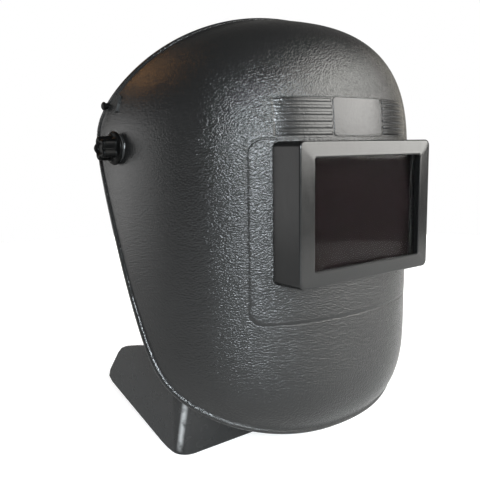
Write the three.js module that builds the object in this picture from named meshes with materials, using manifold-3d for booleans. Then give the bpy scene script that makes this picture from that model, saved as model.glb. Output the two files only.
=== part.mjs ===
// Passive welding helmet with fixed lens box, throat guard and ratchet headgear.
// Millimetres, +Z up, the window faces -Y, +X is the wearer's left.
// The origin is the middle of the wearer's head on the tilt axis, which runs along X.

import * as THREE from 'three';
import { mergeVertices } from 'three/addons/utils/BufferGeometryUtils.js';
import Module from 'manifold-3d';

const wasm = await Module();
wasm.setup();

// ---------------------------------------------------------------- driving dimensions

const GAP = 0.3;               // clearance between touching pieces
const RUNNING = 0.1;           // radial clearance of a turning shaft

// Shell: horizontal sections are superellipses |x/a|^n + |y/b|^n = 1 about y = middle.
const SHELL = {
  halfWidth: 118.7, depth: 115.2, middle: 5, roundness: 2.28,
  domeStart: -15.8, domeHeight: 104.8, domeWidthPower: 2.54, domeDepthPower: 3.4,
  chinStart: -128, chinHeight: 85.4, chinWidthPower: 2.9, chinDepthPower: 3.8,
  wall: 2.5,
};
// Rim in side view: two straight runs, blended where they meet above the pivots, then a forward turn
// under the chin.
const RIM = {
  topY: -47, topZ: 97, earY: 39.8, earZ: 16, chinY: -55.2, chinZ: -208, blend: 14.7,
  underY: -103, underZ: -200, underSlope: 1.8, underBlend: 20,
};
const RIM_BEAD = { radius: 2.3, inset: 0.6 };   // rolled edge, its centre just inside the form

const WINDOW_Z = -42;          // middle of the window
// The sides of the lens box spread by the draft for every millimetre behind its front.
const BOX = { width: 125.4, height: 89.8, front: -120, depth: 45, corner: 4, edge: 1.2, draft: 0.11 };
const OPENING = { width: 101.8, height: 70 };
const PLATE = { width: 108, height: 82.6 };
const POCKET = { width: 109, height: 83.6, front: -116 };
const BARREL = { width: 112.8, height: 87.4, rear: -88 };
const COLLAR = { width: 138, height: 104, corner: 7, thickness: 2.6, boss: 4 };
const SCREW = { x: 59.3, z: 38, radius: 1.25, head: 2.5, tip: -110, seat: -89 };

// Sheets and frames between the opening and the clips, front face of each.
const COVER = { front: -115.7, thickness: 2 };
const GASKET = { front: -113.4, thickness: 1.5, border: 4 };
const FILTER = { front: -111.6, thickness: 3 };
const INNER_SHEET = { front: -108.3, thickness: 1 };
const RETAINER = { front: -107, thickness: 3, border: 5 };
const CLIP = { halfHeight: 12, foot: 8, hook: 1.2, thickness: 1 };

const PANEL = { halfWidth: 78, bottom: -113, top: 4.5, corner: 9, rise: 0.5 };
const BAND = { halfWidth: 64, bottom: 5.5, top: 30, ribs: 6, rise: 0.8, plateHalfWidth: 23.5 };
const ROOT = 1.2;              // how deep raised detail is rooted in the wall

const STUD_RADIUS = 4;
const SEAT = { inner: SHELL.halfWidth - 4.7, outer: SHELL.halfWidth + 0.1, radius: 10.6 };
const ARM_X = 98.8;            // middle of the headgear arm at the pivot
const STRAP = 2.6;             // arm thickness
const ARM_FACE = ARM_X + STRAP / 2;
const WASHER = { thickness: 1.2, inner: 12, outer: 10, spacer: 9 };
const KNOB = {
  base: SHELL.halfWidth + 1.7, tip: SHELL.halfWidth + 13.7,
  flange: 11.3, flangeThickness: 2.4, lobe: 8.4, valley: 6.2, lobes: 5, bevel: 0.8,
};

const STOP = {
  front: 6, rear: 28.4, bottom: 24, top: 36, thickness: 1.6,
  pinY: 21.5, pinZ: 29, pinRadius: 2.2, pinHead: 2.9,
};

const GUARD = { halfWidth: 95.5, front: -33, wall: 2.5, corner: 11, bottom: -217 };
const RIVET_X = 26;
const RIVET_Y = -100;
const RIVET = { shank: 1.7, head: 3.4, rise: 1.5, end: -1.3 };
const RIVET_SETBACK = 3.2;     // the chin wall and tongue are thicker than nominal round the bend

// Headband: half an ellipse at the forehead, half a circle at the nape, about y = HEAD_Y.
const HEAD_Y = 27;
const HEAD_RADIUS = 84;
const FOREHEAD = 100;          // reach of the half ellipse in front of HEAD_Y
const HEADBAND = { bottom: -9, top: 15, thickness: 1.5 };
const HEADBAND_MIDDLE = (HEADBAND.bottom + HEADBAND.top) / 2;
const TEMPLE_HOLE = 1.8;       // radius of the rivet holes at the temples
const TAIL = { thickness: 1.2, inner: 84.4, outer: 86.0, start: 74, end: 17 };
const PINION = { pitch: 6, teeth: 12, addendum: 0.75, dedendum: 1.15, shaft: 3 };
const HOUSING = { halfAngle: 23, base: 81.6, seam: 83.9, outer: 91.4, rim: 2.5 };
const RATCHET_KNOB = { base: 92.0, radius: 17, thickness: 12.5 };
const CROWN = { height: 57, width: 18, thickness: 1.4 };

const FACET_TOLERANCE = 0.05;  // flatness allowed when facets are merged
const SMALL_ROUND = 12;        // segments of a fastener or its hole
const ROUND = 24;              // segments of a round feature

// ---------------------------------------------------------------- solid helpers

function toSolid(geometry) {
  geometry.deleteAttribute('normal');
  geometry.deleteAttribute('uv');
  const merged = mergeVertices(geometry, 1e-4);
  return new wasm.Manifold(new wasm.Mesh({
    numProp: 3,
    vertProperties: new Float32Array(merged.attributes.position.array),
    triVerts: new Uint32Array(merged.index.array),
  }));
}

function meshSolid(vertices, triangles) {
  return new wasm.Manifold(new wasm.Mesh({
    numProp: 3,
    vertProperties: new Float32Array(vertices.flatMap((v) => [v.x, v.y, v.z])),
    triVerts: new Uint32Array(triangles),
  }));
}

function toGeometry(solid) {
  const mesh = solid.getMesh();
  const geometry = new THREE.BufferGeometry();
  const xyz = new Float32Array(mesh.numVert * 3);
  for (let i = 0; i < mesh.numVert; i++) {
    for (let k = 0; k < 3; k++) xyz[i * 3 + k] = mesh.vertProperties[i * mesh.numProp + k];
  }
  geometry.setAttribute('position', new THREE.BufferAttribute(xyz, 3));
  geometry.setIndex(new THREE.BufferAttribute(new Uint32Array(mesh.triVerts), 1));
  const flat = geometry.toNonIndexed();
  flat.computeVertexNormals();
  return flat;
}

function mirrored(solid) {
  return solid.mirror([1, 0, 0]);
}

function block(x0, x1, y0, y1, z0, z1) {
  const geometry = new THREE.BoxGeometry(x1 - x0, y1 - y0, z1 - z0);
  geometry.translate((x0 + x1) / 2, (y0 + y1) / 2, (z0 + z1) / 2);
  return toSolid(geometry);
}

// Outline as a polygon without repeated points.
function outlineOf(shape, curveSegments) {
  const points = shape.getPoints(curveSegments);
  const kept = points.filter((p, i) => p.distanceTo(points[(i + 1) % points.length]) > 1e-3);
  return new THREE.Shape(kept);
}

// Extrusion of a shape along its own third axis.
function extruded(shape, length, options = {}) {
  const { curveSegments = 2, ...rest } = options;
  return new THREE.ExtrudeGeometry(outlineOf(shape, curveSegments), {
    depth: length, bevelEnabled: false, ...rest,
  });
}

function placed(geometry, xAxis, yAxis, zAxis, origin) {
  const matrix = new THREE.Matrix4().makeBasis(xAxis, yAxis, zAxis).setPosition(origin);
  return toSolid(geometry.applyMatrix4(matrix));
}

const X = new THREE.Vector3(1, 0, 0);
const Y = new THREE.Vector3(0, 1, 0);
const Z = new THREE.Vector3(0, 0, 1);

// Shape in (x, z), filling y0..y1.
function prismY(shape, y0, y1) {
  return placed(extruded(shape, y1 - y0), X, Z, Y.clone().negate(), new THREE.Vector3(0, y1, 0));
}

// Shape in (y, z), filling x0..x1.
function prismX(shape, x0, x1) {
  return placed(extruded(shape, x1 - x0), Y, Z, X, new THREE.Vector3(x0, 0, 0));
}

// Shape in (x, y), filling z0..z1.
function prismZ(shape, z0, z1, curveSegments = 2) {
  return placed(extruded(shape, z1 - z0, { curveSegments }), X, Y, Z, new THREE.Vector3(0, 0, z0));
}

function rounded(width, height, radius, cx = 0, cy = 0) {
  const x = cx - width / 2;
  const y = cy - height / 2;
  const shape = new THREE.Shape();
  shape.moveTo(x + radius, y);
  shape.lineTo(x + width - radius, y);
  shape.absarc(x + width - radius, y + radius, radius, -Math.PI / 2, 0);
  shape.lineTo(x + width, y + height - radius);
  shape.absarc(x + width - radius, y + height - radius, radius, 0, Math.PI / 2);
  shape.lineTo(x + radius, y + height);
  shape.absarc(x + radius, y + height - radius, radius, Math.PI / 2, Math.PI);
  shape.lineTo(x, y + radius);
  shape.absarc(x + radius, y + radius, radius, Math.PI, Math.PI * 1.5);
  return shape;
}

// Polygon through points [x, y, cornerRadius], each corner turned by a quadratic curve.
function softPolygon(points) {
  const shape = new THREE.Shape();
  const at = (i) => points[(i + points.length) % points.length];
  points.forEach(([x, y, radius], i) => {
    const corner = new THREE.Vector2(x, y);
    const towards = ([px, py]) => new THREE.Vector2(px, py).sub(corner).setLength(radius).add(corner);
    const before = towards(at(i - 1));
    const after = towards(at(i + 1));
    if (i === 0) shape.moveTo(before.x, before.y);
    else shape.lineTo(before.x, before.y);
    shape.quadraticCurveTo(corner.x, corner.y, after.x, after.y);
  });
  shape.closePath();
  return shape;
}

// Solid of revolution about X from [radius, x] pairs; the profile starts and ends on the axis.
function turnedX(profile, cy = 0, cz = 0, segments = ROUND) {
  const points = profile.map(([r, x]) => new THREE.Vector2(r, x));
  const geometry = new THREE.LatheGeometry(points, segments);
  geometry.rotateZ(-Math.PI / 2);
  geometry.translate(0, cy, cz);
  return toSolid(geometry);
}

function rodX(radius, x0, x1, cy = 0, cz = 0, segments = ROUND) {
  return turnedX([[0, x0], [radius, x0], [radius, x1], [0, x1]], cy, cz, segments);
}

// Cylinder along Y.
function rodY(radius, y0, y1, cx = 0, cz = 0, segments = ROUND) {
  const geometry = new THREE.CylinderGeometry(radius, radius, y1 - y0, segments);
  geometry.translate(cx, (y0 + y1) / 2, cz);
  return toSolid(geometry);
}

// Cylinder along Z.
function rodZ(radius, z0, z1, cx = 0, cy = 0, segments = ROUND) {
  const geometry = new THREE.CylinderGeometry(radius, radius, z1 - z0, segments);
  geometry.rotateX(Math.PI / 2);
  geometry.translate(cx, cy, (z0 + z1) / 2);
  return toSolid(geometry);
}

// ---------------------------------------------------------------- shell form

// Half-width and depth of the section at height z, of the form grown by offset.
function section(z, offset) {
  const s = SHELL;
  const up = Math.min(1, Math.max(0, (z - s.domeStart) / (s.domeHeight + offset)));
  const down = Math.min(1, Math.max(0, (s.chinStart - z) / (s.chinHeight + offset)));
  const narrow = (t, power) => (1 - t ** power) ** (1 / power);
  return {
    a: (s.halfWidth + offset) * narrow(up, s.domeWidthPower) * narrow(down, s.chinWidthPower),
    b: (s.depth + offset) * narrow(up, s.domeDepthPower) * narrow(down, s.chinDepthPower),
  };
}

function insideForm(p, offset) {
  const { a, b } = section(p.z, offset);
  if (a <= 0 || b <= 0) return false;
  const n = SHELL.roundness;
  return Math.abs(p.x / a) ** n + Math.abs((p.y - SHELL.middle) / b) ** n < 1;
}

const FORM_CENTRE = new THREE.Vector3(0, SHELL.middle, -55);

// Point where a ray from the middle of the form leaves it.
function onForm(direction, offset) {
  let near = 0;
  let far = 300;
  const p = new THREE.Vector3();
  for (let i = 0; i < 40; i++) {
    const reach = (near + far) / 2;
    p.copy(direction).multiplyScalar(reach).add(FORM_CENTRE);
    if (insideForm(p, offset)) near = reach;
    else far = reach;
  }
  return p.clone();
}

// Closed egg-shaped body bounded by the form grown by offset; poles at front and back.
function formBody(offset, rings = 20, around = 36) {
  const front = onForm(new THREE.Vector3(0, -1, 0), offset);
  const back = onForm(new THREE.Vector3(0, 1, 0), offset);
  const vertices = [front];
  for (let i = 1; i < rings; i++) {
    const tilt = (Math.PI * i) / rings;
    for (let j = 0; j < around; j++) {
      const turn = (2 * Math.PI * j) / around;
      const across = Math.sin(tilt);
      const ray = new THREE.Vector3(across * Math.cos(turn), -Math.cos(tilt), across * Math.sin(turn));
      vertices.push(onForm(ray, offset));
    }
  }
  vertices.push(back);
  const triangles = [];
  const id = (i, j) => 1 + (i - 1) * around + (j % around);
  for (let j = 0; j < around; j++) {
    triangles.push(0, id(1, j), id(1, j + 1));
    for (let i = 1; i < rings - 1; i++) {
      triangles.push(id(i, j), id(i + 1, j), id(i + 1, j + 1));
      triangles.push(id(i, j), id(i + 1, j + 1), id(i, j + 1));
    }
    triangles.push(id(rings - 1, j), vertices.length - 1, id(rings - 1, j + 1));
  }
  return meshSolid(vertices, triangles);
}

const OUTER = formBody(0);
const INNER = formBody(-SHELL.wall);

// Skin between two offsets of the form.
function skin(low, high) {
  return formBody(high).subtract(formBody(low));
}

// Smaller of two values, rounded off where they are about equal.
function softMin(a, b, blend) {
  return (a + b - Math.hypot(a - b, blend)) / 2;
}

function rimY(z) {
  const r = RIM;
  const upper = r.earY + ((z - r.earZ) * (r.topY - r.earY)) / (r.topZ - r.earZ);
  const lower = r.earY + ((z - r.earZ) * (r.chinY - r.earY)) / (r.chinZ - r.earZ);
  const under = r.underY + (z - r.underZ) * r.underSlope;
  return softMin(softMin(upper, lower, r.blend), under, r.underBlend);
}

// Half-width of the form grown by offset, at depth y and height z.
function formX(y, z, offset) {
  const { a, b } = section(z, offset);
  const n = SHELL.roundness;
  return a * (1 - Math.abs((y - SHELL.middle) / b) ** n) ** (1 / n);
}

// Outward unit normal of the form near a point.
function formNormal(p) {
  const level = (q) => {
    const { a, b } = section(q.z, 0);
    const n = SHELL.roundness;
    return Math.abs(q.x / a) ** n + Math.abs((q.y - SHELL.middle) / b) ** n;
  };
  const h = 0.05;
  const slope = [X, Y, Z].map((axis) => level(p.clone().addScaledVector(axis, h))
    - level(p.clone().addScaledVector(axis, -h)));
  return new THREE.Vector3(...slope).normalize();
}

// Solid drawn along +Z from its origin, set on the shell with +Z pointing out.
function onShell(solid, x, y) {
  const foot = new THREE.Vector3(x, y, -216);
  while (!insideForm(foot, 0)) foot.z += 0.05;
  const turn = new THREE.Quaternion().setFromUnitVectors(Z, formNormal(foot));
  const matrix = new THREE.Matrix4().compose(foot, turn, new THREE.Vector3(1, 1, 1));
  return solid.transform(matrix.elements);
}

// Everything further back than the rim surface moved by shift.
function behindRim(shift = 0) {
  const top = 120;
  const bottom = -250;
  const steps = 62;
  const shape = new THREE.Shape();
  shape.moveTo(300, bottom);
  shape.lineTo(300, top);
  for (let i = 0; i <= steps; i++) {
    const z = top + ((bottom - top) * i) / steps;
    shape.lineTo(rimY(z) + shift, z);
  }
  return prismX(shape, -160, 160);
}

// Closed curve along the rim, at the form grown by offset.
function rimCurve(offset) {
  const points = [];
  const count = 72;
  const start = new THREE.Vector3(0, rimY(-50), -50);
  for (let i = 0; i < count; i++) {
    const turn = (2 * Math.PI * i) / count;
    let near = 0;
    let far = 260;
    const p = new THREE.Vector3();
    for (let k = 0; k < 40; k++) {
      const reach = (near + far) / 2;
      const z = start.z + reach * Math.cos(turn);
      p.set(reach * Math.sin(turn), rimY(z), z);
      if (insideForm(p, offset)) near = reach;
      else far = reach;
    }
    points.push(p.clone());
  }
  return new THREE.CatmullRomCurve3(points, true);
}

// Endless round bead along the rim.
function rimBead(stations = 60, sides = 8) {
  const path = rimCurve(-RIM_BEAD.inset);
  const vertices = [];
  const triangles = [];
  for (let i = 0; i < stations; i++) {
    const centre = path.getPoint(i / stations);
    const out = formNormal(centre);
    const along = path.getTangent(i / stations);
    const across = along.clone().cross(out).normalize();
    for (let j = 0; j < sides; j++) {
      const turn = (2 * Math.PI * j) / sides;
      const p = centre.clone().addScaledVector(out, RIM_BEAD.radius * Math.cos(turn));
      p.addScaledVector(across, RIM_BEAD.radius * Math.sin(turn));
      vertices.push(p);
      const id = (di, dj) => ((i + di) % stations) * sides + ((j + dj) % sides);
      triangles.push(id(0, 0), id(1, 1), id(1, 0), id(0, 0), id(0, 1), id(1, 1));
    }
  }
  const bead = meshSolid(vertices, triangles);
  return bead.volume() > 0 ? bead : meshSolid(vertices, triangles.reverse());
}

// ---------------------------------------------------------------- shell and lens box

// Rounded rectangle in (x, z), wide and high, about the middle of the window.
function windowShape(width, height, corner) {
  return rounded(width, height, corner, 0, WINDOW_Z);
}

// Raised detail on the front of the shell, inside the outline given in (x, z).
function relief(outline, rise) {
  return prismY(outline, -160, -20).intersect(skin(-ROOT, rise));
}

function frontPanel() {
  const p = PANEL;
  return relief(rounded(2 * p.halfWidth, p.top - p.bottom, p.corner, 0, (p.top + p.bottom) / 2), p.rise);
}

function labelPlate() {
  const b = BAND;
  return relief(rounded(2 * b.plateHalfWidth, b.top - b.bottom, 2, 0, (b.top + b.bottom) / 2), b.rise);
}

// Rib number i on one side of the label plate.
function rib(i, side) {
  const b = BAND;
  const pitch = (b.top - b.bottom) / b.ribs;
  const z = b.bottom + pitch * (i + 0.5);
  const length = b.halfWidth - b.plateHalfWidth - 2;
  const middle = side * (b.halfWidth - length / 2);
  return relief(rounded(length, pitch / 2, 0.5, middle, z), b.rise);
}

function helmetShell() {
  let shell = OUTER.subtract(INNER).add(frontPanel()).add(labelPlate());
  for (let i = 0; i < BAND.ribs; i++) shell = shell.add(rib(i, -1)).add(rib(i, 1));
  shell = shell.subtract(behindRim()).add(rimBead());
  const seat = rodX(SEAT.radius, SEAT.inner, SEAT.outer);
  const bore = rodX(STUD_RADIUS + RUNNING, ARM_X, KNOB.tip);
  const pinHole = rodX(STOP.pinRadius + GAP, ARM_X, KNOB.tip, STOP.pinY, STOP.pinZ, SMALL_ROUND);
  const holes = bore.add(pinHole);
  shell = shell.add(seat).add(mirrored(seat)).subtract(holes).subtract(mirrored(holes));
  shell = shell.subtract(prismY(windowShape(BARREL.width + 2 * GAP, BARREL.height + 2 * GAP, 3), -160, -40));
  return withoutRivets(withoutScrews(shell));
}

function withoutScrews(solid) {
  const radius = SCREW.radius + GAP;
  const holes = screwPlaces().map(([x, z]) => rodY(radius, SCREW.tip - 2, -60, x, z, SMALL_ROUND));
  return holes.reduce((left, hole) => left.subtract(hole), solid);
}

function withoutRivets(solid) {
  const hole = rodZ(RIVET.shank + GAP, -12, RIVET.end + GAP, 0, 0, SMALL_ROUND);
  return solid.subtract(onShell(hole, -RIVET_X, RIVET_Y)).subtract(onShell(hole, RIVET_X, RIVET_Y));
}

function screwPlaces() {
  const places = [];
  for (const x of [-SCREW.x, SCREW.x]) {
    for (const z of [WINDOW_Z - SCREW.z, WINDOW_Z + SCREW.z]) places.push([x, z]);
  }
  return places;
}

// Front of the box: a bevelled block whose sides spread by the draft towards the shell.
function boxBlock() {
  const { width, height, front, depth, corner, edge, draft } = BOX;
  const geometry = extruded(windowShape(width - 2 * edge, height - 2 * edge, corner - edge), depth, {
    bevelEnabled: true, bevelThickness: edge, bevelSize: edge, bevelSegments: 2,
  });
  const along = geometry.attributes.position;
  for (let i = 0; i < along.count; i++) {
    const back = depth + edge - along.getZ(i);
    const x = along.getX(i);
    along.setX(i, x + Math.sign(x) * draft * back);
  }
  return placed(geometry, X, Z, Y.clone().negate(), new THREE.Vector3(0, front + edge + depth, 0));
}

function lensBox() {
  let box = boxBlock().subtract(formBody(PANEL.rise + GAP));
  box = box.add(prismY(windowShape(BARREL.width, BARREL.height, 2.7), BOX.front + 3, BARREL.rear));
  box = box.subtract(prismY(windowShape(POCKET.width, POCKET.height, 1.2), POCKET.front, -60));
  box = box.subtract(prismY(windowShape(OPENING.width, OPENING.height, 1.5), -140, -60));
  return withoutScrews(box);
}

function lensCollar() {
  const under = -SHELL.wall - GAP;
  let collar = prismY(windowShape(COLLAR.width, COLLAR.height, COLLAR.corner), -120, -70);
  collar = collar.intersect(skin(under - COLLAR.thickness, under));
  for (const [x, z] of screwPlaces()) {
    collar = collar.add(rodY(COLLAR.boss, SCREW.seat - 3.7, SCREW.seat, x, z, SMALL_ROUND));
  }
  const hole = prismY(windowShape(BARREL.width + 2 * GAP, BARREL.height + 2 * GAP, 3), -130, -60);
  return withoutScrews(collar.intersect(formBody(under)).subtract(hole));
}

function collarScrew(x, z) {
  const under = SCREW.seat + GAP;
  const shank = rodY(SCREW.radius, SCREW.tip, under + 0.3, x, z, SMALL_ROUND);
  const head = rodY(SCREW.head, under, under + 1.8, x, z, SMALL_ROUND);
  const slot = block(x - 3, x + 3, under + 1.3, under + 3, z - 0.4, z + 0.4);
  return shank.add(head).subtract(slot);
}

function plate({ front, thickness }) {
  return prismY(windowShape(PLATE.width, PLATE.height, 1.5), front, front + thickness);
}

function frame({ front, thickness, border }) {
  const hole = windowShape(PLATE.width - 2 * border, PLATE.height - 2 * border, 2);
  return plate({ front, thickness }).subtract(prismY(hole, front - 1, front + thickness + 1));
}

// Bent strip that hooks over the end of the barrel and presses the retainer forward.
function retainerClip() {
  const t = CLIP.thickness;
  const wall = POCKET.width / 2 - GAP;
  const foot = RETAINER.front + RETAINER.thickness + GAP;
  const rear = BARREL.rear + GAP;
  const hook = BARREL.width / 2 + CLIP.hook;
  const outline = [
    [wall - CLIP.foot, foot], [wall, foot], [wall, rear], [hook, rear],
    [hook, rear + t], [wall - t, rear + t], [wall - t, foot + t], [wall - CLIP.foot, foot + t],
  ];
  const shape = new THREE.Shape(outline.map(([x, y]) => new THREE.Vector2(x, y)));
  return prismZ(shape, WINDOW_Z - CLIP.halfHeight, WINDOW_Z + CLIP.halfHeight);
}

// ---------------------------------------------------------------- throat guard

// U seen from above, its legs reaching back past the ends of the guard.
function guardOutline(inset) {
  const g = GUARD;
  const rear = 90 + inset;
  const half = g.halfWidth - inset;
  const front = g.front + inset;
  const radius = g.corner - inset;
  const shape = new THREE.Shape();
  shape.moveTo(-half, rear);
  shape.lineTo(-half, front + radius);
  shape.absarc(-half + radius, front + radius, radius, Math.PI, Math.PI * 1.5);
  shape.lineTo(half - radius, front);
  shape.absarc(half - radius, front + radius, radius, -Math.PI / 2, 0);
  shape.lineTo(half, rear);
  return shape;
}

function throatGuard() {
  const g = GUARD;
  const bendSegments = 7;
  const outside = prismZ(guardOutline(0), g.bottom - 5, -120, bendSegments);
  const inside = prismZ(guardOutline(g.wall), g.bottom - 10, -110, bendSegments);
  const side = softPolygon([
    [-60, g.bottom, 1], [-14, g.bottom, 8], [79, -188, 9], [52, -156, 9], [12, -145, 10], [-60, -137, 1],
  ]);
  const walls = outside.subtract(inside).intersect(prismX(side, -120, 120));
  const notch = prismY(rounded(2 * (g.halfWidth - 16), 100, 20, 0, -128), -60, -10);
  const under = -SHELL.wall - GAP;
  const tongue = skin(under - 2.4, under).intersect(block(-44, 44, -112, g.front + 1.2, -222, -176));
  const guard = withoutRivets(walls.subtract(notch).add(tongue));
  return guard.intersect(block(-120, 120, -120, 120, g.bottom, 0));
}

// Blind rivet: domed head inside, shank through the tongue, its end in the chin wall.
function guardRivet(x) {
  const { shank, head, rise, end } = RIVET;
  const inside = -(2 * SHELL.wall + GAP + RIVET_SETBACK);
  const crown = 2;
  const points = [
    [0, inside - rise], [crown, inside - rise + 0.2], [head, inside], [shank, inside], [shank, end], [0, end],
  ].map(([r, h]) => new THREE.Vector2(r, h));
  const geometry = new THREE.LatheGeometry(points, SMALL_ROUND);
  geometry.rotateX(Math.PI / 2);
  return onShell(toSolid(geometry), x, RIVET_Y);
}

// ---------------------------------------------------------------- tilt pivots and stops

function star(lobes, outer, inner) {
  const shape = new THREE.Shape();
  const count = lobes * 6;
  for (let i = 0; i < count; i++) {
    const turn = (2 * Math.PI * i) / count;
    const wave = (1 + Math.cos(lobes * turn)) / 2;
    const r = inner + (outer - inner) * wave ** 0.7;
    const point = [r * Math.cos(turn), r * Math.sin(turn)];
    if (i === 0) shape.moveTo(...point);
    else shape.lineTo(...point);
  }
  return shape;
}

function pivotKnob() {
  const k = KNOB;
  const face = k.base + k.flangeThickness;
  const flange = turnedX([
    [0, k.base], [k.flange - 0.4, k.base], [k.flange, k.base + 0.5],
    [k.flange - 0.3, face - 1], [k.lobe - 0.5, face], [0, face],
  ]);
  const root = face - 0.4;
  const outline = star(k.lobes, k.lobe - k.bevel, k.valley - k.bevel);
  const grip = extruded(outline, k.tip - k.bevel - root, {
    bevelEnabled: true, bevelThickness: k.bevel, bevelSize: k.bevel, bevelSegments: 1,
  });
  const lobes = placed(grip, Y, Z, X, new THREE.Vector3(root, 0, 0));
  const bore = rodX(STUD_RADIUS + RUNNING, k.base - 1, k.tip - 3.5);
  return flange.add(lobes).subtract(bore);
}

function pivotStud() {
  const inner = ARM_X - STRAP / 2 - GAP;
  const end = KNOB.tip - 4.2;
  const head = 6.4;
  return turnedX([
    [0, inner - 2.4], [head - 0.8, inner - 2.4], [head, inner - 1.6], [head, inner],
    [STUD_RADIUS, inner], [STUD_RADIUS, end], [0, end],
  ]);
}

function washer(radius, x0, x1) {
  return rodX(radius, x0, x1).subtract(rodX(STUD_RADIUS + GAP, x0 - 1, x1 + 1));
}

function stopPlate() {
  const s = STOP;
  const middle = [(s.rear + s.front) / 2, (s.top + s.bottom) / 2];
  const outline = rounded(s.rear - s.front, s.top - s.bottom, 1.2, ...middle);
  const pad = prismX(outline, 80, 140).intersect(skin(GAP, GAP + s.thickness));
  const hole = rodX(s.pinRadius + GAP, 80, 140, s.pinY, s.pinZ, SMALL_ROUND);
  return pad.subtract(behindRim(-RIM_BEAD.radius - 1.4)).subtract(hole);
}

// Pin with a domed head that lands on the stop plate.
function stopPin() {
  const s = STOP;
  const r = s.pinHead;
  const face = formX(s.pinY - r, s.pinZ - r, GAP + s.thickness) + GAP;
  const profile = [
    [0, ARM_X - 2], [s.pinRadius, ARM_X - 2], [s.pinRadius, face],
    [r, face], [r, face + 0.9], [r - 0.8, face + 1.6], [0, face + 1.9],
  ];
  return turnedX(profile, s.pinY, s.pinZ, SMALL_ROUND);
}

// ---------------------------------------------------------------- headgear

// Centre line of the headband offset outwards, as [x, y]; angle 0 is the nape, +90 the left side.
function headPoint(angle, radius) {
  const turn = THREE.MathUtils.degToRad(angle);
  const reach = Math.cos(turn) >= 0 ? radius : radius + FOREHEAD - HEAD_RADIUS;
  return [radius * Math.sin(turn), HEAD_Y + reach * Math.cos(turn)];
}

// Upright band that follows the head between two angles.
function headStrip(from, to, inner, outer, bottom, top, step = 5) {
  const count = Math.max(2, Math.round((to - from) / step));
  const shape = new THREE.Shape();
  for (let i = 0; i <= count; i++) {
    const point = headPoint(from + ((to - from) * i) / count, outer);
    if (i === 0) shape.moveTo(...point);
    else shape.lineTo(...point);
  }
  for (let i = count; i >= 0; i--) shape.lineTo(...headPoint(from + ((to - from) * i) / count, inner));
  return prismZ(shape, bottom, top);
}

function headband() {
  const inner = HEAD_RADIUS - HEADBAND.thickness;
  const band = headStrip(60, 300, inner, HEAD_RADIUS, HEADBAND.bottom, HEADBAND.top);
  return band.subtract(rodX(TEMPLE_HOLE, -120, 120, HEAD_Y, HEADBAND_MIDDLE, SMALL_ROUND));
}

// Loop that holds the sliding tail against the end of the headband.
function bandKeeper() {
  const low = HEAD_RADIUS - HEADBAND.thickness - GAP;
  const high = TAIL.outer + TAIL.thickness + GAP;
  const loop = headStrip(62, 67, low - 1.2, high + 1.2, HEADBAND.bottom - 1.5, HEADBAND.top + 1.5, 2.5);
  return loop.subtract(headStrip(58, 71, low, high, HEADBAND.bottom - GAP, HEADBAND.top + GAP, 2.5));
}

function headArm() {
  const half = STRAP / 2;
  const side = HEAD_RADIUS + GAP + CROWN.thickness + GAP + half;
  const line = [[ARM_X, -13], [ARM_X, 9.5], [side, 18.5], [side, 40]];
  const shape = softPolygon([
    [line[0][0] + half, line[0][1], 0.5], [line[1][0] + half, line[1][1] + 0.8, 3],
    [line[2][0] + half, line[2][1] + 1.6, 3], [line[3][0] + half, line[3][1], 0.5],
    [line[3][0] - half, line[3][1], 0.5], [line[2][0] - half, line[2][1] - 1.6, 3],
    [line[1][0] - half, line[1][1] - 0.8, 3], [line[0][0] - half, line[0][1], 0.5],
  ]);
  const outline = rounded(53, 22, 9, 13.5, 1);
  let arm = prismZ(shape, -10, 12).intersect(prismX(outline, 60, 120));
  arm = arm.add(stopFinger());
  arm = arm.subtract(rodX(STUD_RADIUS + GAP, 90, 110));
  return arm.subtract(rodX(TEMPLE_HOLE, 60, 120, HEAD_Y, HEADBAND_MIDDLE, SMALL_ROUND));
}

// Finger that lands on the stop pin when the shell is down.
function stopFinger() {
  const reach = Math.hypot(STOP.pinY, STOP.pinZ);
  const width = 7;
  const turn = Math.atan2(STOP.pinZ, STOP.pinY) + Math.asin((STOP.pinRadius + width / 2 + GAP) / reach);
  const geometry = extruded(rounded(reach + 3, width, 2, (reach + 3) / 2, 0), STRAP);
  geometry.rotateZ(turn);
  return placed(geometry, Y, Z, X, new THREE.Vector3(ARM_X - STRAP / 2, 0, 0));
}

function templeRivet() {
  const y = HEAD_Y;
  const z = HEADBAND_MIDDLE;
  const inner = HEAD_RADIUS - HEADBAND.thickness;
  const outer = HEAD_RADIUS + CROWN.thickness + 2 * GAP + STRAP;
  const shank = rodX(1.5, inner - 0.6, outer + 0.6, y, z, SMALL_ROUND);
  const low = [[0, inner - 1.5], [2.4, inner - 1.4], [3.4, inner - GAP], [0, inner - GAP]];
  const high = [[0, outer + GAP], [3.4, outer + GAP], [2.6, outer + 1.4], [0, outer + 1.7]];
  return shank.add(turnedX(low, y, z, SMALL_ROUND)).add(turnedX(high, y, z, SMALL_ROUND));
}

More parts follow.
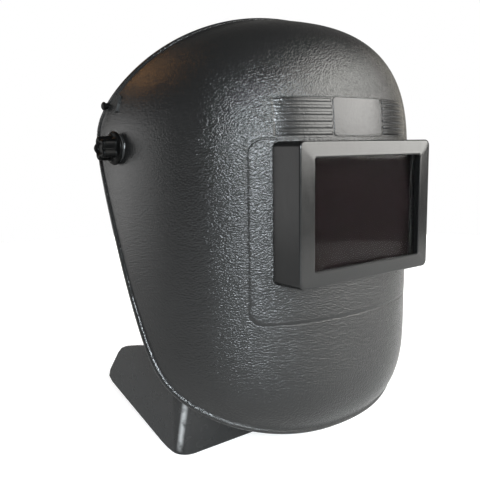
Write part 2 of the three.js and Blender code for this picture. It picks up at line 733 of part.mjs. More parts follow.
// Half of the strap over the head, from the left temple past the top; rise lifts it over the other half.
function crownStrap(rise) {
  const base = HEADBAND.bottom + 2;
  const shape = new THREE.Shape();
  const stop = 106;
  const count = 22;
  const spring = HEADBAND.top + 1;
  const lay = (turn, grow) => {
    const wide = HEAD_RADIUS + GAP + grow;
    const lift = turn > 60 ? rise * Math.min(1, (turn - 60) / 12) : 0;
    const rad = THREE.MathUtils.degToRad(turn);
    return [wide * Math.cos(rad), spring + (CROWN.height + grow + lift) * Math.sin(rad)];
  };
  const outer = HEAD_RADIUS + GAP + CROWN.thickness;
  shape.moveTo(outer, base);
  for (let i = 0; i <= count; i++) shape.lineTo(...lay((stop * i) / count, CROWN.thickness));
  for (let i = count; i >= 0; i--) shape.lineTo(...lay((stop * i) / count, 0));
  shape.lineTo(outer - CROWN.thickness, base);
  let strap = prismY(shape, HEAD_Y - CROWN.width / 2, HEAD_Y + CROWN.width / 2);
  strap = strap.subtract(rodX(TEMPLE_HOLE, 60, 120, HEAD_Y, HEADBAND_MIDDLE, SMALL_ROUND));
  for (const x of [-9, 0, 9]) strap = strap.subtract(rodZ(1.9, 55, 95, x, HEAD_Y, SMALL_ROUND));
  return strap;
}

function crownButton() {
  const top = HEADBAND.top + 1 + CROWN.height;
  const shank = rodZ(1.6, top - 3.2, top + 3.6, 0, HEAD_Y, SMALL_ROUND);
  const head = rodZ(5, top + 3.4, top + 5, 0, HEAD_Y);
  const foot = rodZ(3, top - 4.4, top - 0.4, 0, HEAD_Y).subtract(rodZ(9, top - 0.6, top + 2, 0, HEAD_Y));
  return shank.add(head).add(foot);
}

// Rack strip through the ratchet housing. Teeth stand on one edge of its slot.
function rackTail(inner, toothSide) {
  const outer = inner + TAIL.thickness;
  const middle = HEADBAND_MIDDLE;
  let tail = headStrip(-TAIL.end, TAIL.start, inner, outer, HEADBAND.bottom + 0.5, HEADBAND.top - 0.5);
  const p = PINION;
  const stepAngle = THREE.MathUtils.radToDeg((2 * Math.PI * p.pitch) / p.teeth / RACK_RADIUS);
  const edge = p.pitch + p.dedendum;
  const tip = p.pitch - p.addendum;
  const plain = p.pitch + p.addendum + 0.5;
  const low = toothSide > 0 ? middle - plain : middle - edge;
  const high = toothSide > 0 ? middle + edge : middle + plain;
  const slot = headStrip(-TAIL.end + 3, 15, inner - 1, outer + 1, low, high, 3);
  tail = tail.subtract(slot);
  for (let i = -6; i <= 6; i++) {
    const angle = (i + 0.5) * stepAngle;
    const tooth = rackTooth(edge + 0.4, tip, toothSide).rotate([0, 0, -angle]);
    tail = tail.add(tooth.translate([0, HEAD_Y, middle]).intersect(ringBand(inner, outer)));
  }
  return tail;
}

const RACK_RADIUS = (TAIL.inner + TAIL.outer + TAIL.thickness) / 2;

function ringBand(inner, outer) {
  return headStrip(-40, 40, inner, outer, -30, 40, 3);
}

// Tapered tooth pointing at the pinion, standing across the strip at the nape.
function rackTooth(root, tip, side) {
  const pitch = (2 * Math.PI * PINION.pitch) / PINION.teeth;
  const wide = pitch * 0.33;
  const slim = pitch * 0.12;
  const shape = new THREE.Shape();
  shape.moveTo(-wide, side * root);
  shape.lineTo(wide, side * root);
  shape.lineTo(slim, side * tip);
  shape.lineTo(-slim, side * tip);
  return prismY(shape, 70, 100);
}

function ratchetPinion() {
  const p = PINION;
  const shape = new THREE.Shape();
  const steps = [[-0.34, -1], [-0.13, 1], [0.13, 1], [0.34, -1]];
  for (let i = 0; i < p.teeth; i++) {
    steps.forEach(([share, side], k) => {
      const turn = (2 * Math.PI * (i + share)) / p.teeth + Math.PI / 2;
      const r = side > 0 ? p.pitch + p.addendum : p.pitch - p.dedendum;
      const point = [r * Math.cos(turn), HEADBAND_MIDDLE + r * Math.sin(turn)];
      if (i === 0 && k === 0) shape.moveTo(...point);
      else shape.lineTo(...point);
    });
  }
  const knobBase = HEAD_Y + RATCHET_KNOB.base;
  const gear = prismY(shape, HEAD_Y + HOUSING.seam + 0.2, HEAD_Y + TAIL.outer + TAIL.thickness + 0.4);
  const shaft = rodY(PINION.shaft, HEAD_Y + TAIL.outer, knobBase + 6, 0, HEADBAND_MIDDLE);
  const screwHole = rodY(1.1, knobBase - 4, knobBase + 9, 0, HEADBAND_MIDDLE, SMALL_ROUND);
  return gear.add(shaft).subtract(screwHole);
}

// Part of the ratchet housing between two radii, taller than the headband.
function housingStrip(inner, outer) {
  const h = HOUSING;
  return headStrip(-h.halfAngle, h.halfAngle, inner, outer, HEADBAND.bottom - h.rim, HEADBAND.top + h.rim, 3);
}

function housingBase() {
  return housingStrip(HOUSING.base, HOUSING.seam - GAP);
}

function housingCover() {
  const h = HOUSING;
  const tailTop = TAIL.outer + TAIL.thickness;
  const channel = headStrip(-40, 40, h.seam - 1, tailTop + 0.8, HEADBAND.bottom + 0.2, HEADBAND.top - 0.2, 3);
  const boss = rodY(14, HEAD_Y + tailTop + 1.2, HEAD_Y + h.outer, 0, HEADBAND_MIDDLE);
  const bore = rodY(PINION.shaft + RUNNING, HEAD_Y + 80, HEAD_Y + 100, 0, HEADBAND_MIDDLE);
  return housingStrip(h.seam, h.outer - 1.5).subtract(channel).add(boss).subtract(bore);
}

function ratchetKnob() {
  const k = RATCHET_KNOB;
  const base = HEAD_Y + k.base;
  const bevel = 0.8;
  const outline = star(10, k.radius - bevel, k.radius - bevel - 1.4);
  const grip = extruded(outline, k.thickness - 2 * bevel, {
    bevelEnabled: true, bevelThickness: bevel, bevelSize: bevel, bevelSegments: 1,
  });
  const start = new THREE.Vector3(0, base + k.thickness - bevel, HEADBAND_MIDDLE);
  const bore = rodY(PINION.shaft + GAP, base - 1, base + 6.5, 0, HEADBAND_MIDDLE);
  const screwHole = rodY(1.4, base, base + 30, 0, HEADBAND_MIDDLE, SMALL_ROUND);
  const well = rodY(4, base + k.thickness - 3, base + 30, 0, HEADBAND_MIDDLE);
  return placed(grip, X, Z, Y.clone().negate(), start).subtract(bore).subtract(screwHole).subtract(well);
}

function knobScrew() {
  const k = RATCHET_KNOB;
  const seat = HEAD_Y + k.base + k.thickness - 3 + GAP;
  const head = rodY(3.2, seat, seat + 1.8, 0, HEADBAND_MIDDLE, SMALL_ROUND);
  const shank = rodY(0.9, HEAD_Y + k.base - 2, seat + 0.5, 0, HEADBAND_MIDDLE, SMALL_ROUND);
  const slot = block(-4, 4, seat + 1.2, seat + 3, HEADBAND_MIDDLE - 0.4, HEADBAND_MIDDLE + 0.4);
  return head.add(shank).subtract(slot);
}

function sweatband() {
  const inner = HEAD_RADIUS - HEADBAND.thickness - GAP;
  return headStrip(128, 232, inner - 5, inner, HEADBAND.bottom - 2, HEADBAND.top + 3, 4);
}

function napePad() {
  const outer = HOUSING.base - GAP;
  return headStrip(-21, 21, outer - 5, outer, HEADBAND.bottom - 3, HEADBAND.top + 3, 3);
}

// ---------------------------------------------------------------- assembly

const LOOK = {
  shell: { color: 0x26282a, roughness: 0.5, metalness: 0 },
  box: { color: 0x1b1c1e, roughness: 0.3, metalness: 0 },
  guard: { color: 0x2c2d2e, roughness: 0.42, metalness: 0 },
  knob: { color: 0x151617, roughness: 0.25, metalness: 0 },
  clear: { color: 0xdfe6e4, roughness: 0.05, metalness: 0 },
  filter: { color: 0x1d1a1c, roughness: 0.04, metalness: 0 },
  rubber: { color: 0x1a1a1a, roughness: 0.8, metalness: 0 },
  steel: { color: 0xb4b6b8, roughness: 0.35, metalness: 1 },
  headgear: { color: 0x2f3133, roughness: 0.5, metalness: 0 },
  foam: { color: 0x3a3d44, roughness: 0.95, metalness: 0 },
};

const group = new THREE.Group();
group.name = 'welding_helmet';

function addPart(name, solid, look) {
  const geometry = toGeometry(solid.simplify(FACET_TOLERANCE));
  const mesh = new THREE.Mesh(geometry, new THREE.MeshStandardMaterial(LOOK[look]));
  mesh.name = name;
  group.add(mesh);
}

// A piece drawn on the wearer's left, with its mirror image on the right.
function addPair(name, solid, look) {
  addPart(`${name}_left`, solid, look);
  addPart(`${name}_right`, mirrored(solid), look);
}

addPart('helmet_shell', helmetShell(), 'shell');
addPart('lens_box', lensBox(), 'box');
addPart('lens_collar', lensCollar(), 'box');
screwPlaces().forEach(([x, z], i) => addPart(`collar_screw_${i + 1}`, collarScrew(x, z), 'steel'));
addPart('cover_plate', plate(COVER), 'clear');
addPart('lens_gasket', frame(GASKET), 'rubber');
addPart('filter_plate', plate(FILTER), 'filter');
addPart('inner_plate', plate(INNER_SHEET), 'clear');
addPart('lens_retainer', frame(RETAINER), 'box');
addPair('retainer_clip', retainerClip(), 'steel');
addPart('throat_guard', throatGuard(), 'guard');
addPair('guard_rivet', guardRivet(RIVET_X), 'knob');
addPair('stop_plate', stopPlate(), 'guard');
addPair('stop_pin', stopPin(), 'knob');

const washerEnd = ARM_FACE + GAP + WASHER.thickness;
addPair('pivot_knob', pivotKnob(), 'knob');
addPair('outer_washer', washer(WASHER.outer, SEAT.outer + GAP, KNOB.base - GAP), 'rubber');
addPair('pivot_spacer', washer(WASHER.spacer, washerEnd + GAP, SEAT.inner - GAP), 'headgear');
addPair('inner_washer', washer(WASHER.inner, ARM_FACE + GAP, washerEnd), 'rubber');
addPair('pivot_stud', pivotStud(), 'steel');

addPart('headband', headband(), 'headgear');
addPair('band_keeper', bandKeeper(), 'knob');
addPair('head_arm', headArm(), 'headgear');
addPair('temple_rivet', templeRivet(), 'steel');
addPart('crown_strap_left', crownStrap(0), 'headgear');
addPart('crown_strap_right', mirrored(crownStrap(CROWN.thickness + GAP)), 'headgear');
addPart('crown_button', crownButton(), 'knob');
addPart('rack_tail_left', rackTail(TAIL.inner, 1), 'headgear');
addPart('rack_tail_right', mirrored(rackTail(TAIL.outer, -1)), 'headgear');
addPart('ratchet_base', housingBase(), 'headgear');
addPart('ratchet_cover', housingCover(), 'headgear');
addPart('ratchet_pinion', ratchetPinion(), 'knob');
addPart('ratchet_knob', ratchetKnob(), 'knob');
addPart('knob_screw', knobScrew(), 'steel');
addPart('sweatband', sweatband(), 'foam');
addPart('nape_pad', napePad(), 'foam');

export default group;
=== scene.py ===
"""Looks of a passive welding helmet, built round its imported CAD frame.

Metres, +Z up, the window faces -Y, +X is the wearer's left, the origin is on the tilt axis.
Shapes are worked out in millimetres and scaled by MM when they become meshes; sizes in materials are metres.
"""

import math

import bmesh
import bpy
import numpy as np
from mathutils import Matrix, Vector


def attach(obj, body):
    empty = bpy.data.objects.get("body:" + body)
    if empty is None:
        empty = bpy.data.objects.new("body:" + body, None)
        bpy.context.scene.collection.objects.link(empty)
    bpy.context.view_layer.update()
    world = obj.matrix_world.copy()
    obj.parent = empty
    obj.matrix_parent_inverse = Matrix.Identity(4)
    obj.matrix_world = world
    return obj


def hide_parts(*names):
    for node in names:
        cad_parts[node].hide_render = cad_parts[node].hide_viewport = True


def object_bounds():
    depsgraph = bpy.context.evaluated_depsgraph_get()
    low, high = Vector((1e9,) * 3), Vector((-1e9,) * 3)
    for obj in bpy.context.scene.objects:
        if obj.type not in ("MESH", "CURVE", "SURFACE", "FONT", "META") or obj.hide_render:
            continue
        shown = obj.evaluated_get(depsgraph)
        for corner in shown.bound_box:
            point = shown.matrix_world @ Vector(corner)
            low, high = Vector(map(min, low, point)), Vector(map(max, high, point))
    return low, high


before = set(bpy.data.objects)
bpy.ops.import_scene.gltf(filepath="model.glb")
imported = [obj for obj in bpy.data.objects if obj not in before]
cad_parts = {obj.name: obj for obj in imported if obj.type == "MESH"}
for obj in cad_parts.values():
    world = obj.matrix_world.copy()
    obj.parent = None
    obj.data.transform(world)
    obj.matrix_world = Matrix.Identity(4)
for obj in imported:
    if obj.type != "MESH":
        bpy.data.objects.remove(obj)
bpy.context.view_layer.update()
CAD_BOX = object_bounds()

MM = 0.001

# ---------------------------------------------------------------- driving dimensions, mm

FORM = {
    "half_width": 118.7, "depth": 115.2, "middle": 5, "roundness": 2.28,
    "dome_start": -15.8, "dome_height": 104.8, "dome_width_power": 2.54, "dome_depth_power": 3.4,
    "chin_start": -128, "chin_height": 85.4, "chin_width_power": 2.9, "chin_depth_power": 3.8,
}
FORM_CENTRE = np.array([0.0, FORM["middle"], -55.0])
MEAN_RADIUS = 110              # of the form, turns a length along the surface into a tilt angle
WALL = 2.5
RIM = {
    "top_y": -47, "top_z": 97, "ear_y": 39.8, "ear_z": 16, "chin_y": -55.2, "chin_z": -208, "blend": 14.7,
    "under_y": -103, "under_z": -200, "under_slope": 1.8, "under_blend": 20,
}
# The rolled bead; the walls stop the lead lengths short of the rim, and the bead takes over.
BEAD = {"radius": 2.3, "offset": -0.6, "outer_lead": 4.5, "inner_lead": 3.0}

WINDOW_Z = -42
# Edge and lip are the roundings outside and round the opening; the face slopes back by slope, each side
# spreads by draft and ends stand_off before the panel. The corners tighten by corner_loss per mm over the
# edge, and by face_corner_loss on the face.
BOX = {
    "width": 125.4, "height": 89.8, "front": -120, "corner": 4, "edge": 1.4, "lip": 0.7, "slope": 0.8,
    "draft": 0.11, "stand_off": 0.3, "corner_loss": 0.6, "face_corner_loss": 1.2,
}
OPENING = {"width": 101.8, "height": 70, "corner": 1.5}
POCKET = {"width": 109, "height": 83.6, "corner": 1.2, "front": -116}
BARREL = {"width": 112.8, "height": 87.4, "corner": 2.7, "rear": -88}
DOOR_GAP = 0.3

PANEL = {
    "half_width": 78, "bottom": -113, "top": 4.5, "corner": 9, "rise": 0.5, "lift": 0.2,
    "groove": 0.42, "step": 1.1,
}
BAND = {"half_width": 64, "bottom": 5.5, "top": 30}
# Ribs fill the band on both sides of the plate; the upper ones reach further out by end_step each.
RIBS = {
    "count": 6, "rise": 0.5, "width_share": 0.78, "plate_gap": 1.2, "end_inset": 2.5, "end_step": 0.8,
    "taper": 14,
}
# Across in shares of the width, up in shares of the rise; below the surface where up is negative.
RIB_PROFILE = [
    (-0.5, -0.5), (-0.36, 0.45), (-0.22, 0.9), (0.0, 1.0), (0.22, 0.9), (0.36, 0.45), (0.5, -0.5),
]
PLATE = {"half_width": 23.5, "rise": 0.4, "corner": 2.5}
PLATE_EDGE = [(0.0, 0.55), (0.25, 0.9), (0.8, 1.0), (1.6, 1.0)]      # inset in mm, share of the rise
SINK = 0.8                     # how far the undersides of ribs and plate lie in the wall
# The seat's radius keeps it hidden behind the flange of the knob.
SEAT = {
    "inner": FORM["half_width"] - 4.7, "outer": FORM["half_width"] + 0.1, "radius": 9.4,
    "chamfer_depth": 0.5, "chamfer_inset": 0.6,
}

KNOB = {
    "base": FORM["half_width"] + 1.7, "tip": FORM["half_width"] + 13.7,
    "flange": 11.3, "lobes": 5, "lobe": 8.4, "valley": 6.2,
}
RATCHET_KNOB = {
    "base": 119.0, "thickness": 12.5, "lobes": 10, "lobe": 17.0, "valley": 15.6,
    "well": 4.0, "bore": 3.4, "screw": 1.4,
}

# Leather grain: sizes and height in mm, and the share of it that the panel, the band and the sides lose.
GRAIN = {
    "coarse": 1.15, "fine": 0.6, "fine_share": 0.35, "height": 0.55,
    "panel_loss": 0.12, "band_loss": 0.7, "side_loss": 0.55, "side_from": 85, "side_to": 118,
    "front_y": -60, "front_fade": 5, "zone_fade": 0.5,
}

GUARD_BEND = {"x": 84.5, "y": -22, "radius": 11}        # axis and outside radius at the front corners
# The painted highlight along the bend: a pale line that leans outwards with height about middle_z and stops
# at the hem.
PAINTED_HIGHLIGHT_LINE = {
    "middle_z": -195, "lean": 0.22, "core": 0.6, "edge": 3.8, "hem_low": -216, "hem_high": -209,
}

HEAD_Y = 27
FOREHEAD_STRETCH = 16
BAND_MIDDLE_Z = 3
SWEATBAND = {"from": 128, "to": 232, "inner": 77.2, "outer": 82.2, "bottom": -11, "top": 18}
NAPE_PAD = {"from": -21, "to": 21, "inner": 76.3, "outer": 81.3, "bottom": -12, "top": 18}

# Pads: power below 1 makes the section boxy, and the ends close over end_span stations.
PAD_SECTION = {
    "power": 0.6, "end_angle": 0.6, "end_span": 3, "end_thickness": 0.25, "end_height": 0.86,
}
SEAM = {"channel_width": 1.3, "edge_width": 1.1, "margin": 3.2, "depth": 1.1, "side_blend": 1.5}
CLOTH_FRAMES = 20

CAD_SMOOTH_ANGLE = 32

# ---------------------------------------------------------------- the studio, metres and degrees

# Heading is from +Y towards +X; pitch is downwards; the lens and the sensor are in mm.
CAMERA = {
    "heading": 38.24, "pitch": 8.49, "roll": -0.82, "place": (-0.3233, -0.3918, 0.0011),
    "lens": 47.85, "sensor": 36, "nearest": 0.01,
}
LIGHT_TARGET = Vector((0, -0.02, -0.06))
LIGHT_DISTANCE = 1.6
# Brightness of the room at eye level, and what is left of it overhead, above the elevation of that sine.
ROOM = {"level": 0.24, "overhead_share": 0.15, "overhead_sine": 0.9}
FLOOR = {"radii": (0.02, 0.3, 0.7, 1.1), "gap": 0.0002}

# ---------------------------------------------------------------- camera and lights


def add_camera():
    """The photograph's viewpoint, fitted to the edges of the lens box."""
    heading, pitch, roll = (math.radians(CAMERA[key]) for key in ("heading", "pitch", "roll"))
    forward = Vector((
        math.sin(heading) * math.cos(pitch), math.cos(heading) * math.cos(pitch), -math.sin(pitch)))
    sideways = Vector((math.cos(heading), -math.sin(heading), 0))
    upright = sideways.cross(forward)
    right = math.cos(roll) * sideways + math.sin(roll) * upright
    up = math.cos(roll) * upright - math.sin(roll) * sideways
    camera = bpy.data.objects.new("camera", bpy.data.cameras.new("camera"))
    camera.data.sensor_width = CAMERA["sensor"]
    camera.data.lens = CAMERA["lens"]
    camera.data.clip_start = CAMERA["nearest"]
    turn = Matrix((right, up, -forward)).transposed().to_4x4()
    camera.matrix_world = Matrix.Translation(CAMERA["place"]) @ turn
    bpy.context.scene.collection.objects.link(camera)
    bpy.context.scene.camera = camera


def add_softbox(name, azimuth, elevation, size, radiance, colour):
    """Rectangular light seen from the object at azimuth (0 ahead, 90 its left) and elevation."""
    turn, rise = math.radians(azimuth), math.radians(elevation)
    towards = Vector((math.sin(turn) * math.cos(rise), -math.cos(turn) * math.cos(rise), math.sin(rise)))
    light = bpy.data.lights.new(name, "AREA")
    light.shape = "RECTANGLE"
    light.size, light.size_y = size
    light.energy = radiance * math.pi * size[0] * size[1]
    light.color = colour
    lamp = bpy.data.objects.new(name, light)
    lamp.location = LIGHT_TARGET + towards * LIGHT_DISTANCE
    lamp.rotation_euler = (-towards).to_track_quat("-Z", "Y").to_euler()
    bpy.context.scene.collection.objects.link(lamp)


def add_world():
    """White where the camera looks past the object, a dim grey room for everything else."""
    world = bpy.data.worlds.new("studio")
    world.use_nodes = True
    bpy.context.scene.world = world
    tree = world.node_tree
    tree.nodes.clear()
    output = tree.nodes.new("ShaderNodeOutputWorld")
    mix = tree.nodes.new("ShaderNodeMixShader")
    room = tree.nodes.new("ShaderNodeBackground")
    backdrop = tree.nodes.new("ShaderNodeBackground")
    path = tree.nodes.new("ShaderNodeLightPath")
    towards = tree.nodes.new("ShaderNodeTexCoord")
    axes = tree.nodes.new("ShaderNodeSeparateXYZ")
    rise = tree.nodes.new("ShaderNodeMapRange")
    rise.inputs["From Min"].default_value = 0.0
    rise.inputs["From Max"].default_value = ROOM["overhead_sine"]
    rise.inputs["To Min"].default_value = ROOM["level"]
    rise.inputs["To Max"].default_value = ROOM["level"] * ROOM["overhead_share"]
    room.inputs["Color"].default_value = (1.0, 0.98, 0.94, 1)
    backdrop.inputs["Color"].default_value = (1, 1, 1, 1)
    backdrop.inputs["Strength"].default_value = 1.0
    tree.links.new(towards.outputs["Generated"], axes.inputs[0])
    tree.links.new(axes.outputs["Z"], rise.inputs["Value"])
    tree.links.new(rise.outputs[0], room.inputs["Strength"])
    tree.links.new(path.outputs["Is Camera Ray"], mix.inputs[0])
    tree.links.new(room.outputs[0], mix.inputs[1])
    tree.links.new(backdrop.outputs[0], mix.inputs[2])
    tree.links.new(mix.outputs[0], output.inputs["Surface"])


def add_lights():
    """Two windows ahead, pale walls and a warm lamp: name, azimuth, elevation, size, radiance, colour."""
    add_softbox("window", -29, 15, (0.40, 0.48), 76, (0.87, 0.95, 1.0))
    add_softbox("front_window", 34, 24, (1.60, 1.40), 9.8, (1.0, 0.99, 0.95))
    add_softbox("side_wall", -134, 0, (1.5, 1.0), 1.6, (1.0, 1.0, 1.0))
    add_softbox("warm_lamp", -160, 38, (0.45, 0.40), 2.4, (1.0, 0.48, 0.15))
    add_softbox("right_wall", 102, 12, (0.6, 0.9), 0.6, (1.0, 0.92, 0.78))
    add_softbox("back_fill", 162, 4, (1.0, 0.6), 4.5, (1.0, 1.0, 1.0))


# ---------------------------------------------------------------- material helpers


class Graph:
    """A material's node tree, built by short calls."""

    def __init__(self, name):
        self.material = bpy.data.materials.new(name)
        self.material.use_nodes = True
        self.tree = self.material.node_tree
        self.tree.nodes.clear()
        self.shader = self.tree.nodes.new("ShaderNodeBsdfPrincipled")
        output = self.tree.nodes.new("ShaderNodeOutputMaterial")
        self.tree.links.new(self.shader.outputs[0], output.inputs["Surface"])
        self.place = self.add("ShaderNodeTexCoord").outputs["Object"]

    def add(self, kind, inputs=None, **settings):
        """New node with its inputs fed and its settings set."""
        node = self.tree.nodes.new(kind)
        for key, value in settings.items():
            setattr(node, key, value)
        for key, value in (inputs or {}).items():
            self.feed(node.inputs[key], value)
        return node

    def feed(self, socket, value):
        """Links a socket or sets a plain value."""
        if isinstance(value, bpy.types.NodeSocket):
            self.tree.links.new(value, socket)
        else:
            socket.default_value = value

    def noise(self, size, detail=2.0, roughness=0.5, place=None):
        """Noise from 0 to 1 with features of that size in metres."""
        inputs = {
            "Vector": place or self.place, "Scale": 1 / size, "Detail": detail, "Roughness": roughness,
        }
        return self.add("ShaderNodeTexNoise", inputs).outputs["Fac"]

    def span(self, value, low, high, to_low=0.0, to_high=1.0):
        """Value between low and high, carried over to to_low and to_high and clamped."""
        inputs = {"Value": value, "From Min": low, "From Max": high, "To Min": to_low, "To Max": to_high}
        return self.add("ShaderNodeMapRange", inputs).outputs["Result"]

    def math(self, operation, first, second=0.0):
        return self.add("ShaderNodeMath", {0: first, 1: second}, operation=operation).outputs[0]

    def mix(self, amount, first, second):
        """Colour from first at amount 0 to second at amount 1."""
        node = self.add("ShaderNodeMix", data_type="RGBA")
        self.feed(node.inputs[0], amount)
        self.feed(node.inputs[6], first)
        self.feed(node.inputs[7], second)
        return node.outputs[2]

    def stretched(self, scale):
        """The object's coordinates scaled axis by axis, for streaks."""
        return self.add("ShaderNodeMapping", {"Vector": self.place, "Scale": scale}).outputs[0]

    def bump(self, height, distance):
        """Normal bumped by height from 0 to 1, of that distance in metres."""
        return self.add("ShaderNodeBump", {"Height": height, "Distance": distance}).outputs[0]

    def edges(self, radius):
        """1 on sharp edges, 0 on open faces."""
        bevel = self.add("ShaderNodeBevel", {"Radius": radius}, samples=4).outputs[0]
        normal = self.add("ShaderNodeNewGeometry").outputs["Normal"]
        dot = self.add("ShaderNodeVectorMath", {0: bevel, 1: normal}, operation="DOT_PRODUCT")
        return self.span(dot.outputs["Value"], 0.995, 0.90)

    def scuffed(self, base, paler, share, radius=0.0007, patch=0.006):
        """The base colour with a share of the paler one rubbed into the edges in patches."""
        scuff_and_highlight = self.math("MULTIPLY", self.edges(radius), self.noise(patch, detail=5.0))
        return self.mix(self.math("MULTIPLY", scuff_and_highlight, share), base, paler)

    def finish(self, **values):
        """Feeds the shader's inputs and hands over the material."""
        for key, value in values.items():
            self.feed(self.shader.inputs[key.replace("_", " ")], value)
        return self.material


def grey(value, tint=(1.0, 1.0, 1.0)):
    """Colour of that brightness, neutral unless tinted."""
    return (value * tint[0], value * tint[1], value * tint[2], 1.0)


def moulded_plastic(name, value, roughness, grain=0.00001, wear=0.35, shine=0.36):
    """Injection-moulded plastic: cloudy colour, fine texture, scuffed edges."""
    g = Graph(name)
    clouds = g.noise(0.035, detail=4.0)
    base = g.mix(clouds, grey(value * 0.8), grey(value * 1.25))
    colour = g.scuffed(base, grey(value * 3.2 + 0.01), wear)
    streaks = g.noise(0.004, detail=6.0, roughness=0.7, place=g.stretched((1.0, 1.0, 0.25)))
    gloss = g.span(streaks, 0.3, 0.7, roughness - 0.03, roughness + 0.04)
    normal = g.bump(g.noise(0.0009, detail=2.0), grain)
    g.shader.inputs["Specular IOR Level"].default_value = shine
    return g.finish(Base_Color=colour, Roughness=gloss, Normal=normal)


def folded_guard(name):
    """Satin sheet plastic, with a painted highlight: a pale line down the outside of the two front bends."""
    g = Graph(name)
    bend = GUARD_BEND
    line = PAINTED_HIGHLIGHT_LINE
    clouds = g.noise(0.035, detail=4.0)
    axes = g.add("ShaderNodeSeparateXYZ", {0: g.place}).outputs
    across = g.math("SUBTRACT", g.math("ABSOLUTE", axes["X"]), bend["x"] * MM)
    along = g.math("SUBTRACT", axes["Y"], bend["y"] * MM)
    square = g.math("ADD", g.math("MULTIPLY", across, across), g.math("MULTIPLY", along, along))
    outside = g.span(g.math("SQRT", square), (bend["radius"] - 1.5) * MM, (bend["radius"] - 0.5) * MM)
    # Painted highlight: a pale streak on the outside of each front bend, leaning with height and broken up
    # by noise.
    lean = g.math("MULTIPLY", g.math("SUBTRACT", axes["Z"], line["middle_z"] * MM), line["lean"])
    off_line = g.math("ABSOLUTE", g.math("ADD", g.math("ADD", across, along), lean))
    near_line = g.span(off_line, line["core"] * MM, line["edge"] * MM, 1.0, 0.0)
    above_hem = g.span(axes["Z"], line["hem_low"] * MM, line["hem_high"] * MM)
    scuff_and_highlight = g.math("MULTIPLY", near_line, g.span(g.noise(0.006), 0.25, 0.5))
    scuff_and_highlight = g.math("MULTIPLY", scuff_and_highlight, g.math("MULTIPLY", outside, above_hem))
    base = g.mix(clouds, grey(0.010), grey(0.015))
    colour = g.scuffed(base, grey(0.05), 0.35)
    # Mixes the painted highlight into the colour.
    colour = g.mix(g.math("MULTIPLY", scuff_and_highlight, 0.8), colour, grey(0.30))
    gloss = g.span(g.noise(0.010, detail=3.0), 0.3, 0.7, 0.22, 0.30)
    normal = g.bump(g.noise(0.0015, detail=1.0), 0.00001)
    g.shader.inputs["Specular IOR Level"].default_value = 0.36
    return g.finish(Base_Color=colour, Roughness=gloss, Normal=normal)


def grained_shell(name):
    """Dark grey polypropylene with a leather grain, faint on the band and calmer at the sides."""
    g = Graph(name)
    grain = GRAIN
    clouds = g.noise(0.05, detail=4.0)
    base = g.mix(clouds, grey(0.006), grey(0.010))
    axes = g.add("ShaderNodeSeparateXYZ", {0: g.place}).outputs
    across = g.math("ABSOLUTE", axes["X"])
    front_y = grain["front_y"] * MM
    ahead = g.span(axes["Y"], front_y, front_y + grain["front_fade"] * MM, 1.0, 0.0)

    def zone(half_width, bottom, top):
        """1 on the front of the shell within that width and height, in mm, fading over its edges."""
        fade = grain["zone_fade"]
        inside = g.span(across, (half_width - fade) * MM, (half_width + fade) * MM, 1.0, 0.0)
        above = g.span(axes["Z"], (bottom - fade) * MM, (bottom + fade) * MM)
        below = g.span(axes["Z"], (top - fade) * MM, (top + fade) * MM, 1.0, 0.0)
        return g.math("MULTIPLY", g.math("MULTIPLY", inside, ahead), g.math("MULTIPLY", above, below))

    panel = zone(PANEL["half_width"], PANEL["bottom"], PANEL["top"])
    band = zone(BAND["half_width"] - 1, BAND["bottom"], BAND["top"])
    lost_on_panel = g.math("MULTIPLY", panel, grain["panel_loss"])
    lost_on_band = g.math("MULTIPLY", band, grain["band_loss"])
    front = g.math("SUBTRACT", 1.0, g.math("MAXIMUM", lost_on_panel, lost_on_band))
    sides = g.span(across, grain["side_from"] * MM, grain["side_to"] * MM, 1.0, 1 - grain["side_loss"])
    coarse = g.noise(grain["coarse"] * MM, detail=1.0)
    fine = g.math("MULTIPLY", g.noise(grain["fine"] * MM, detail=1.0), grain["fine_share"])
    height = g.math("MULTIPLY", g.math("ADD", coarse, fine), g.math("MULTIPLY", front, sides))
    normal = g.bump(height, grain["height"] * MM)
    colour = g.scuffed(base, grey(0.05), 0.2, radius=0.0008, patch=0.008)
    patches = g.noise(0.012, detail=5.0, roughness=0.6)
    gloss = g.span(patches, 0.3, 0.7, 0.19, 0.25)
    g.shader.inputs["Specular IOR Level"].default_value = 0.38
    return g.finish(Base_Color=colour, Roughness=gloss, Normal=normal)


def clear_sheet(name):
    """Clear cover sheet with a faint film of dust."""
    g = Graph(name)
    dust = g.noise(0.004, detail=6.0, roughness=0.7)
    gloss = g.span(dust, 0.45, 0.75, 0.02, 0.06)
    colour = g.mix(g.noise(0.03), grey(0.93), grey(0.98))
    g.shader.inputs["Transmission Weight"].default_value = 1.0
    g.shader.inputs["IOR"].default_value = 1.06
    normal = g.bump(g.noise(0.02), 0.000002)
    return g.finish(Base_Color=colour, Roughness=gloss, Normal=normal)


def filter_glass(name):
    """Welding filter: almost black, polished."""
    g = Graph(name)
    clouds = g.noise(0.04, detail=3.0)
    colour = g.mix(clouds, (0.0068, 0.0050, 0.0053, 1), (0.0080, 0.0060, 0.0063, 1))
    gloss = g.span(g.noise(0.006, detail=5.0), 0.4, 0.7, 0.06, 0.10)
    g.shader.inputs["Specular IOR Level"].default_value = 0.03
    normal = g.bump(g.noise(0.02), 0.000002)
    return g.finish(Base_Color=colour, Roughness=gloss, Normal=normal)


def plated_steel(name):
    """Bright zinc-plated steel with a fine texture and dull patches."""
    g = Graph(name)
    clouds = g.noise(0.004, detail=4.0)
    colour = g.mix(clouds, grey(0.42, (1.0, 0.99, 0.96)), grey(0.62, (1.0, 0.99, 0.97)))
    gloss = g.span(g.noise(0.002, detail=5.0), 0.3, 0.7, 0.24, 0.42)
    normal = g.bump(g.noise(0.0003, detail=2.0), 0.000006)
    g.shader.inputs["Metallic"].default_value = 1.0
    return g.finish(Base_Color=colour, Roughness=gloss, Normal=normal)


